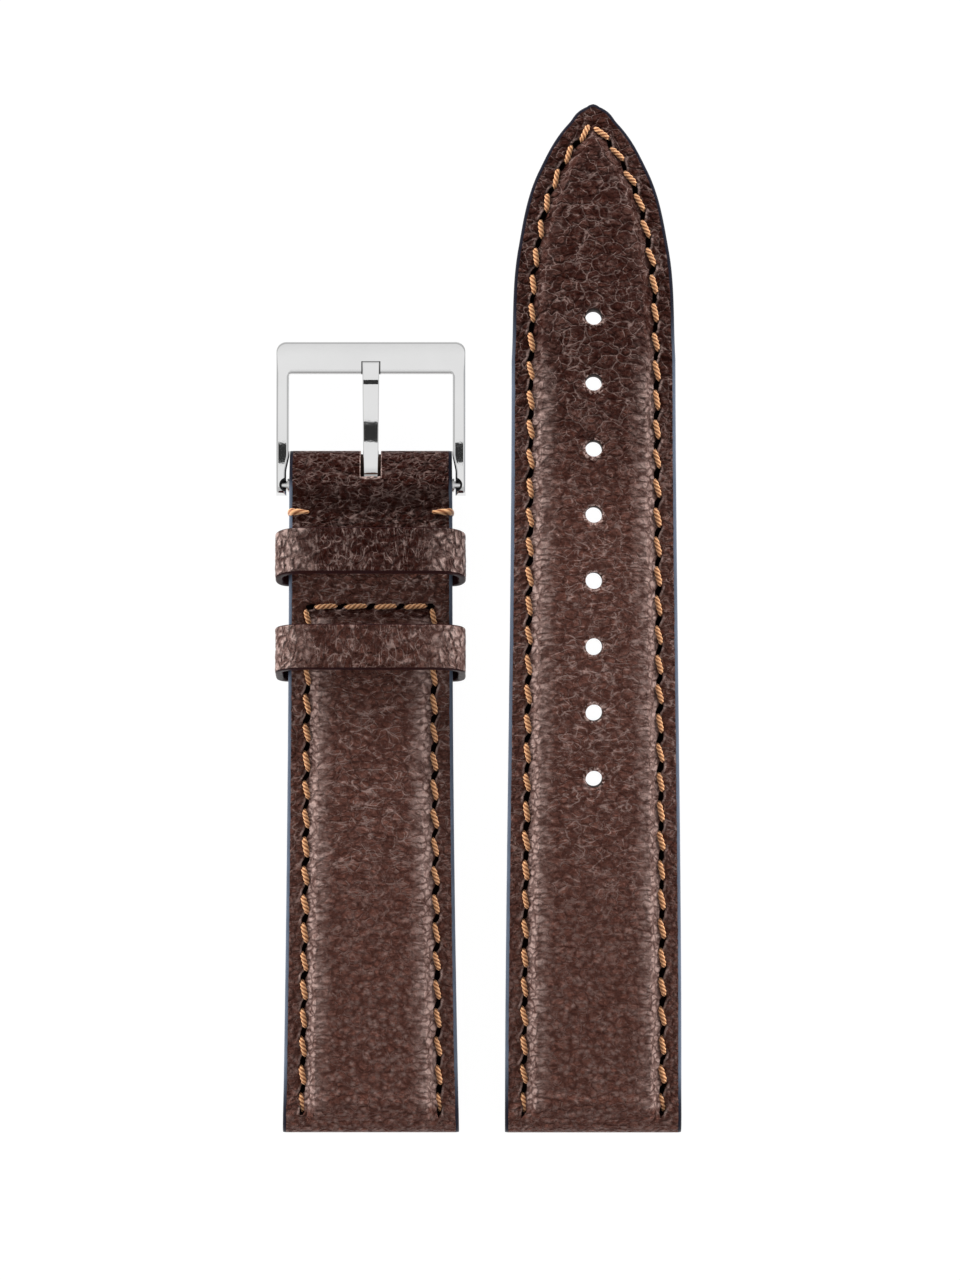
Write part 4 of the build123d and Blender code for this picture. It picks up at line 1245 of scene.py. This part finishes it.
class STRAP_OT_stitching(bpy.types.Operator):
    """Sews the seams: twisted stitches above and below"""

    bl_idname = "strap.stitching"
    bl_label = "Stitching"

    def execute(self, context):
        rng = np.random.default_rng(RNG_SEED)
        for half, arch in (("long", long_arch()), ("short", short_arch())):
            for side, hand in (("right", 1), ("left", -1)):
                seam = half + "_" + side
                self.sewn(seam + "_thread", self.side_seam(half, arch, hand, rng), half + "_strap",
                          seam + "_stitching")
        self.sewn("cross_thread", self.cross_seam(short_arch()), "short_strap", "cross_stitching")
        self.sewn("edge_thread", [self.edge_wrap(short_arch(), hand) for hand in (-1, 1)], "short_strap",
                  "edge_stitches")
        return {"FINISHED"}

    def sewn(self, name, strands, body, node):
        """Joins one seam's strands into a piece that takes the place of a node"""
        piece = gather(name, strands, bpy.data.materials["thread_waxed_twisted"])
        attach(piece, body)
        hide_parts(node)

    def side_seam(self, half, arch, hand, rng):
        """Stitches along one side: a full one above and a plain one below each"""
        s = sizes()
        strands = []
        for x, y, turn in stitch_spots(half):
            size = s.stitch_length * rng.uniform(0.94, 1.05)
            wide = s.thread_width * rng.uniform(0.94, 1.06)
            lean = turn * hand + s.stitch_slant * rng.uniform(0.75, 1.2)
            points, faces, ply = thread_strand(size, wide, wide * 0.75)
            level = s.flange - 0.2 * MM + wide * 0.25
            strands.append((seat(arch, x * hand, y, level, lean, points), faces, ply))
            points, faces, ply = thread_strand(size, wide, wide * 0.6, along=10, around=10)
            strands.append((seat(arch, x * hand, y, 0.04 * MM, lean, points, True), faces, ply))
        return strands

    def cross_seam(self, arch):
        """Four long stitches across the end of the padding"""
        s = sizes()
        strands = []
        y = BAR[1] - CROSS_SEAM
        turn = pi / 2 + s.stitch_slant * 0.3
        points, faces, ply = thread_strand(2.75 * MM, s.thread_width * 0.95, s.thread_width * 0.75)
        for index in range(4):
            x = (index - 1.5) * CROSS_PITCH
            strands.append((seat(arch, x, y, s.flange - 0.02 * MM, turn, points), faces, ply))
            strands.append((seat(arch, x, y, 0.02 * MM, turn, points, True), faces, ply))
        return strands

    def edge_wrap(self, arch, hand):
        """A strand that lies on the top, goes over the edge and comes back underneath"""
        y = BAR[1] - 3.25 * MM
        reach, thick = 2.4 * MM, 0.92 * MM
        low, high = float(short_bottom(np.array(y))), float(sizes().flange / 2 + short_base(np.array(y)))
        half = float(short_half_width(np.array(y)))
        path = np.array([(half - reach, high - 0.2 * MM), (half - reach * 0.8, high + 0.02 * MM),
                         (half - 0.9 * MM, high + 0.1 * MM), (half - 0.42 * MM, high + 0.02 * MM),
                         (half - 0.24 * MM, high - 0.5 * MM), (half - 0.24 * MM, low + 0.6 * MM),
                         (half - 0.42 * MM, low + 0.05 * MM), (half - 0.9 * MM, low - 0.08 * MM),
                         (half - reach * 0.8, low), (half - reach, low + 0.15 * MM)])
        along, around, plies, turns = 60, 14, 3, 6
        fine = np.linspace(0, len(path) - 1, along)
        # Softens the path's corners with a running mean of seven points
        lines = [np.pad(np.interp(fine, range(len(path)), line), 3, "edge") for line in path.T]
        px, pz = (np.convolve(line, np.ones(7) / 7, "valid") for line in lines)
        dx, dz = np.gradient(px), np.gradient(pz)
        size = np.hypot(dx, dz)
        tt, th = np.meshgrid(np.linspace(0, 1, along), np.linspace(0, 2 * pi, around, endpoint=False),
                             indexing="ij")
        ply = 0.5 + 0.5 * np.cos(plies * th - 2 * pi * turns * tt)
        radius = thick / 2 * (0.3 + 0.7 * np.sin(pi * tt) ** 1.1) * (0.84 + 0.16 * ply)
        x = px[:, None] - (dz / size)[:, None] * radius * np.sin(th)
        level = pz[:, None] + (dx / size)[:, None] * radius * np.sin(th)
        points = arch.place(x * hand, y + radius * np.cos(th) * 1.1, level).reshape(-1, 3)
        return points, capped(along, around), ply.reshape(-1)


class STRAP_OT_keepers(bpy.types.Operator):
    """Forms the two leather keepers, leaning towards the buckle"""

    bl_idname = "strap.keepers"
    bl_label = "Keepers"

    band = 5.1 * MM
    rounding = 0.28 * MM

    def execute(self, context):
        fixed = self.loop("fixed_keeper", 0.74 * MM, 0.62 * MM, 70 * MM)
        free = self.loop("free_keeper", -1.28 * MM, LEATHER, 130 * MM)
        for piece, node, body in ((fixed, "fixed_keeper", "short_strap"),
                                  (free, "free_keeper", "free_keeper_loop")):
            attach(piece, body)
            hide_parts(node)
        return {"FINISHED"}

    def path(self, half, bottom, ceiling, foot):
        """The loop's middle line as seen along the strap: broad corners above, tight ones below"""
        wide, tall = 2.9 * MM, 1.7 * MM
        turn = np.radians(np.linspace(0, 90, 15))
        line = []
        for cx, cz, rx, rz, start in ((half - wide, ceiling - tall, wide, tall, 0),
                                      (wide - half, ceiling - tall, wide, tall, pi / 2),
                                      (foot - half, bottom + foot, foot, foot, pi),
                                      (half - foot, bottom + foot, foot, foot, 3 * pi / 2)):
            line += [(cx + rx * cos(start + t), cz + rz * sin(start + t)) for t in turn]
        return np.array(line + line[:1])

    def section(self):
        """Round the strip: outer face, rounded edge, inner face, rounded edge, as (across, side, lift)"""
        edge, flat = self.rounding, self.band / 2 - self.rounding
        corners = []
        for cy, side, start in ((flat, 0.5, 0), (-flat, 0.5, 90), (-flat, -0.5, 180), (flat, -0.5, 270)):
            corners += [(cy + edge * cos(t), side, edge * sin(t))
                        for t in np.radians(start + np.linspace(0, 90, 5))]
        outer = np.linspace(flat, -flat, 20)[1:-1]
        return np.array(corners[:5] + [(at, 0.5, edge) for at in outer] + corners[5:15]
                        + [(at, -0.5, -edge) for at in outer[::-1][::3]] + corners[15:])

    def loop(self, node, run, run_thick, grain_from):
        """One keeper, whose lower run has its own level and thickness"""
        top, lean_by, foot = 5.4 * MM, 1.3 * MM, 1.5 * MM - LEATHER / 2
        low, high = corner(node)
        half = (high[0] - low[0]) / 2 - LEATHER / 2
        bottom = run + run_thick / 2
        path = self.path(half, bottom, top - LEATHER / 2, foot)
        gaps = np.concatenate([[0], np.cumsum(np.hypot(*np.diff(path, axis=0).T))])
        count = 220
        at = np.linspace(0, gaps[-1], count, endpoint=False)
        px, pz = np.interp(at, gaps, path[:, 0]), np.interp(at, gaps, path[:, 1])
        dx, dz = np.roll(px, -1) - np.roll(px, 1), np.roll(pz, -1) - np.roll(pz, 1)
        size = np.hypot(dx, dz)
        nx, nz = (dz / size)[:, None], (-dx / size)[:, None]
        thick = np.where((np.abs(pz - bottom) < 0.5 * foot) & (np.abs(px) < half - foot), run_thick, LEATHER)
        across, side, lift = self.section().T
        offset = side * (thick[:, None] - 2 * self.rounding) + lift
        grain = creases(at[:, None] + 0 * offset + grain_from, across + 0 * offset, np.array(0.3))
        grain = grain * (side > 0) * smooth((self.band / 2 - np.abs(across)) / (0.6 * MM))
        x, z = px[:, None] + nx * (offset + grain), pz[:, None] + nz * (offset + grain)
        y = across + lean_by * ((z - run) / (top - run) - 0.5)
        arch = short_arch()
        middle_y = (low[1] + high[1]) / 2
        tilt = float(arch.lean(middle_y))
        along, up = np.array([0, cos(tilt), -sin(tilt)]), np.array([0, sin(tilt), cos(tilt)])
        points = arch.place(np.array(0.0), np.array(middle_y), np.array(0.0))
        points = points + x[..., None] * np.array([1, 0, 0]) + y[..., None] * along + z[..., None] * up
        piece = mesh_object(node + "_loop", points.reshape(-1, 3),
                            grid_faces(count, len(across), wrap_rows=True, wrap_columns=True),
                            bpy.data.materials["calf_keeper"])
        away = np.where(side > 0, self.band / 2 - np.abs(across), 0) / MM
        set_attribute(piece, "edge", np.repeat(away[None, :], count, 0))
        return piece


def through(v, *points):
    """Height at v of the parabola through three points."""
    return np.polyval(np.polyfit([p[0] for p in points], [p[1] for p in points], 2), v)


# The buckle, in millimetres from the middle of its bar: v runs forward and u across
FRAME_HALF = 10.75
FRAME_FRONT = 16.3
FRAME_ROOT = 1.2
FRAME_FOOT = -2.05
FRAME_CORNER = 1.15
WINDOW_HALF = 9.25
WINDOW_FRONT = 12.6
WINDOW_CORNER = 0.25
PIVOT_HALF = 9.6
FOOT_FROM = 13.4


def frame_top(v):
    """Top of the buckle frame above the bar: an arch that is level a little ahead of the bar."""
    arch = through(np.maximum(v, 0), (0, FRAME_ROOT), (8.15, 1.15), (16.0, 0.45))
    return np.where(v < 0, np.sqrt(np.clip(FRAME_ROOT ** 2 - np.minimum(v, 0) ** 2, 1e-6, None)), arch)


def frame_bottom(v):
    """Underside of the frame: raised legs, and a front bar that stands on the table."""
    legs = through(np.clip(v, 0, FOOT_FROM), (0, -FRAME_ROOT), (8.15, -0.95), (FOOT_FROM, FRAME_FOOT))
    return np.where(v < 0, -frame_top(v), np.where(v > FOOT_FROM, FRAME_FOOT, np.maximum(legs, FRAME_FOOT)))


def bar_section(out, inner, front_lip):
    """The rings of a bar with rounded edges, between an outer and an inner line of the plan."""
    span = np.hypot(*(inner - out).T)[:, None]
    turn = np.radians(np.linspace(0, 90, 6))
    outer, low = 0.26, 0.12
    lip = front_lip[:, None]
    rings = [(0 * lip + outer * (1 - cos(t)), outer * (1 - sin(t)) + 0 * lip, True) for t in turn]
    for share in np.linspace(0, 1, 7):
        rings.append(((outer + 0.03) * (1 - share) + (span - lip - 0.03) * share, 0 * lip, True))
    rings += [(span - lip * (1 - cos(t)), lip * (1 - sin(t)), True) for t in turn[::-1]]
    rings += [(span - low * (1 - cos(t)), low * (1 - sin(t)) + 0 * lip, False) for t in turn]
    rings += [(0 * lip + low * (1 - cos(t)), low * (1 - sin(t)) + 0 * lip, False) for t in turn[::-1]]
    points = []
    for across, down, above in rings:
        plan = out + (inner - out) * across / span
        top, bottom = frame_top(plan[:, 1]), frame_bottom(plan[:, 1])
        down = down[:, 0] * np.clip((top - bottom) / 2 / 0.5, 0, 1)
        points.append(np.column_stack([plan, top - down if above else bottom + down]))
    return np.stack(points, 1)


def buckle_frame_points():
    """The frame's rings, from one leg's end round the front bar to the other's."""
    root = -FRAME_ROOT * np.cos(np.linspace(0.08, pi / 2, 9))
    v = np.concatenate([root, np.linspace(0.3, 12.3, 44)])
    leg_inner = np.interp(v, [1.6, 3.3], [PIVOT_HALF, WINDOW_HALF])
    turn = np.linspace(0, pi / 2, 15)
    u0, v0 = FRAME_HALF - FRAME_CORNER, FRAME_FRONT - FRAME_CORNER
    corner_out = [(-FRAME_HALF, 12.8), (-FRAME_HALF, 14.0)]
    corner_out += [(-u0 - FRAME_CORNER * cos(t), v0 + FRAME_CORNER * sin(t)) for t in turn]
    corner_out += [(-9.3, FRAME_FRONT)]
    u0, v0 = WINDOW_HALF - WINDOW_CORNER, WINDOW_FRONT - WINDOW_CORNER
    corner_in = [(-u0 - WINDOW_CORNER * cos(t), v0 + WINDOW_CORNER * sin(t))
                 for t in np.linspace(0.05, pi / 2, len(corner_out))]
    u = np.linspace(-u0, u0, 31)
    out = np.concatenate([np.column_stack([-FRAME_HALF + 0 * v, v]), corner_out,
                          np.column_stack([u, FRAME_FRONT + 0 * u])])
    inner = np.concatenate([np.column_stack([-leg_inner, v]), corner_in,
                            np.column_stack([u, WINDOW_FRONT + 0 * u])])
    lip = np.concatenate([0.3 + 0 * v, np.linspace(0.3, 0.45, len(corner_in)), 0.45 + 0 * u])
    side = len(v) + len(corner_in)
    out = np.concatenate([out, out[:side][::-1] * [-1, 1]])
    inner = np.concatenate([inner, inner[:side][::-1] * [-1, 1]])
    return bar_section(out, inner, np.concatenate([lip, lip[:side][::-1]]))


def tongue_outline():
    """Side outline of the tongue in millimetres: ring, neck, crest, and a tip that lies in the recess."""
    v = np.linspace(4.4, 13.86, 190)
    slope = np.interp(v, [4.4, 4.78, 7.26, 11.3, 11.38, 11.96, 12.06, 13.3, 13.5],
                      [0.07, 0.0135, -0.0125, -0.045, -0.0075, 0.0185, 0.06, 0.06, 0.05])
    rise = np.concatenate([[0], np.cumsum((slope[1:] + slope[:-1]) / 2 * np.diff(v))])
    crest = np.column_stack([v, 1.05 + rise])
    neck_v = np.linspace(1.22, 4.3, 22)
    neck = np.column_stack([neck_v, through(neck_v, (1.22, 0.6), (2.8, 0.87), (4.4, 1.05))])
    low_v = np.linspace(1.29, 13.86, 60)
    low = np.column_stack([low_v, np.where(low_v > 12.6, -0.08, through(low_v, (1.29, -0.43), (7.8, 0.04),
                                                                         (12.6, -0.08)))])
    middle, half = (crest[-1, 1] - 0.08) / 2, (crest[-1, 1] + 0.08) / 2
    nose = [(13.86 + 0.16 * cos(t), middle + half * sin(t)) for t in np.linspace(-pi / 2, pi / 2, 13)[1:-1]]
    ring = [(1.36 * cos(t), 1.36 * sin(t)) for t in np.radians(np.linspace(26.3, 341.6, 60))[1:-1]]
    return np.concatenate([low, nose, crest[::-1], neck[::-1], ring])


class STRAP_OT_steel(bpy.types.Operator):
    """Forges the buckle, and finishes its spring bar, in polished steel"""

    bl_idname = "strap.steel"
    bl_label = "Steel"

    def execute(self, context):
        self.buckle_frame()
        self.buckle_tongue()
        for node in ("spring_bar_tube", "spring_bar_spring", "spring_bar_left_tip", "spring_bar_right_tip"):
            piece = frame["nodes"][node]
            piece.data.materials.clear()
            piece.data.materials.append(bpy.data.materials["stainless_turned"])
        return {"FINISHED"}

    def finish(self, piece, node, body, cutters):
        """Cuts the seats, sets the sharp edges apart and puts the piece in its place."""
        # The seats' cut faces take the steel coloured as painted shade
        piece.data.materials.append(bpy.data.materials["stainless_drilled"])
        for cutter in cutters:
            cutter.data.materials[0] = bpy.data.materials["stainless_drilled"]
        carve(piece, cutters)
        piece.data.set_sharp_from_angle(angle=radians(33))
        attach(piece, body)
        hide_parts(node)

    def buckle_frame(self):
        grid = buckle_frame_points()
        points = grid.reshape(-1, 3) * MM + np.array([SHORT_X, BAR[1], BAR[2]])
        piece = mesh_object("frame_forged", points, capped(*grid.shape[:2]),
                            bpy.data.materials["stainless_mirror_polished"])

        def place(x, along, up):
            return SHORT_X + x, BAR[1] + along, BAR[2] + up

        recess = [(11 * MM, -0.12 * MM), (14.05 * MM, -0.12 * MM), (14.05 * MM, 4 * MM), (11 * MM, 4 * MM)]
        cutters = [profile_cutter(recess, -1.08 * MM, 1.08 * MM, place),
                   bar_cutter(SHORT_X, BAR[1], BAR[2], 0.56 * MM, 21.04 * MM)]
        cutters += [self.notch(hand) for hand in (-1, 1)]
        self.finish(piece, "buckle_frame", "frame", cutters)

    def notch(self, hand):
        """A countersink beside the bar's pivot, which shows as a dark crescent"""
        turn = np.linspace(0, 2 * pi, 36, endpoint=False)
        return ring_cutter([[(SHORT_X + (hand * 9.52 + radius * cos(t)) * MM, BAR[1] + radius * sin(t) * MM,
                              BAR[2] + up * MM) for t in turn]
                            for up, radius in ((-3.0, 0.42), (0.1, 0.42), (1.22, 0.86), (3.0, 0.9))])

    def buckle_tongue(self):
        """The tongue, drawn out across its side outline, with softened edges and room for the bar"""
        outline = tongue_outline()
        along = np.roll(outline, -1, 0) - np.roll(outline, 1, 0)
        normal = np.column_stack([along[:, 1], -along[:, 0]]) / np.hypot(*along.T)[:, None]
        soft = 0.08
        # How far each ring is inset from the outline, and how far it lies back from the side face
        steps = ((soft, 0.0), (0.3 * soft, 0.3 * soft), (0.0, soft), (0.0, soft + 0.03), (0.0, 0.5))
        rings = []
        for side, (inset, back) in [(-1, step) for step in steps] + [(1, step) for step in steps[::-1]]:
            line = outline - normal * inset
            half = np.interp(line[:, 0], [1.36, 14.0], [0.85, 0.97])
            rings.append(np.column_stack([side * (half - back), line]))
        points = np.concatenate(rings) * MM + np.array([SHORT_X, BAR[1], BAR[2]])
        piece = mesh_object("tongue_forged", points, capped(len(rings), len(outline)),
                            bpy.data.materials["stainless_mirror_polished"])
        self.finish(piece, "buckle_tongue", "tongue",
                    [bar_cutter(SHORT_X, BAR[1], BAR[2], 0.86 * MM, 4 * MM)])


class STRAP_OT_materials(bpy.types.Operator):
    """Mixes the leather, thread and steel finishes"""

    bl_idname = "strap.materials"
    bl_label = "Materials"

    def execute(self, context):
        c = colours()
        grain_leather("calf_pebbled_dyed", 1.95, c.edge_paint_sheen)
        grain_leather("calf_keeper", 1.5, c.leather_deep, 1.5, (1.35, 0.6, 1.0), 0.12, 0.9)
        raw_leather("cut_leather_raw")
        lining_leather("lining_glazed")
        waxed_thread("thread_waxed_twisted")
        polished_steel("stainless_mirror_polished", 0.03)
        polished_steel("stainless_turned", 0.25)
        recess_shaded_steel("stainless_drilled")
        return {"FINISHED"}


class STRAP_PT_panel(bpy.types.Panel):
    """Lists the steps that build the strap"""

    bl_idname = "STRAP_PT_panel"
    bl_label = "Watch strap"
    bl_space_type = "VIEW_3D"
    bl_region_type = "UI"
    bl_category = "Watch strap"

    def draw(self, context):
        for operator in STEPS:
            self.layout.operator(operator.bl_idname)


STEPS = (STRAP_OT_materials, STRAP_OT_stage, STRAP_OT_long_leather, STRAP_OT_short_leather,
         STRAP_OT_linings, STRAP_OT_stitching, STRAP_OT_keepers, STRAP_OT_steel)
CLASSES = (StrapSizes, StrapColours) + STEPS + (STRAP_PT_panel,)


def register():
    for cls in CLASSES:
        bpy.utils.register_class(cls)
    bpy.types.Scene.strap_sizes = bpy.props.PointerProperty(type=StrapSizes)
    bpy.types.Scene.strap_colours = bpy.props.PointerProperty(type=StrapColours)


def unregister():
    del bpy.types.Scene.strap_colours
    del bpy.types.Scene.strap_sizes
    for cls in reversed(CLASSES):
        bpy.utils.unregister_class(cls)


def main():
    register()
    for operator in STEPS:
        group, name = operator.bl_idname.split(".")
        getattr(getattr(bpy.ops, group), name)()


if __name__ == "__main__":
    main()
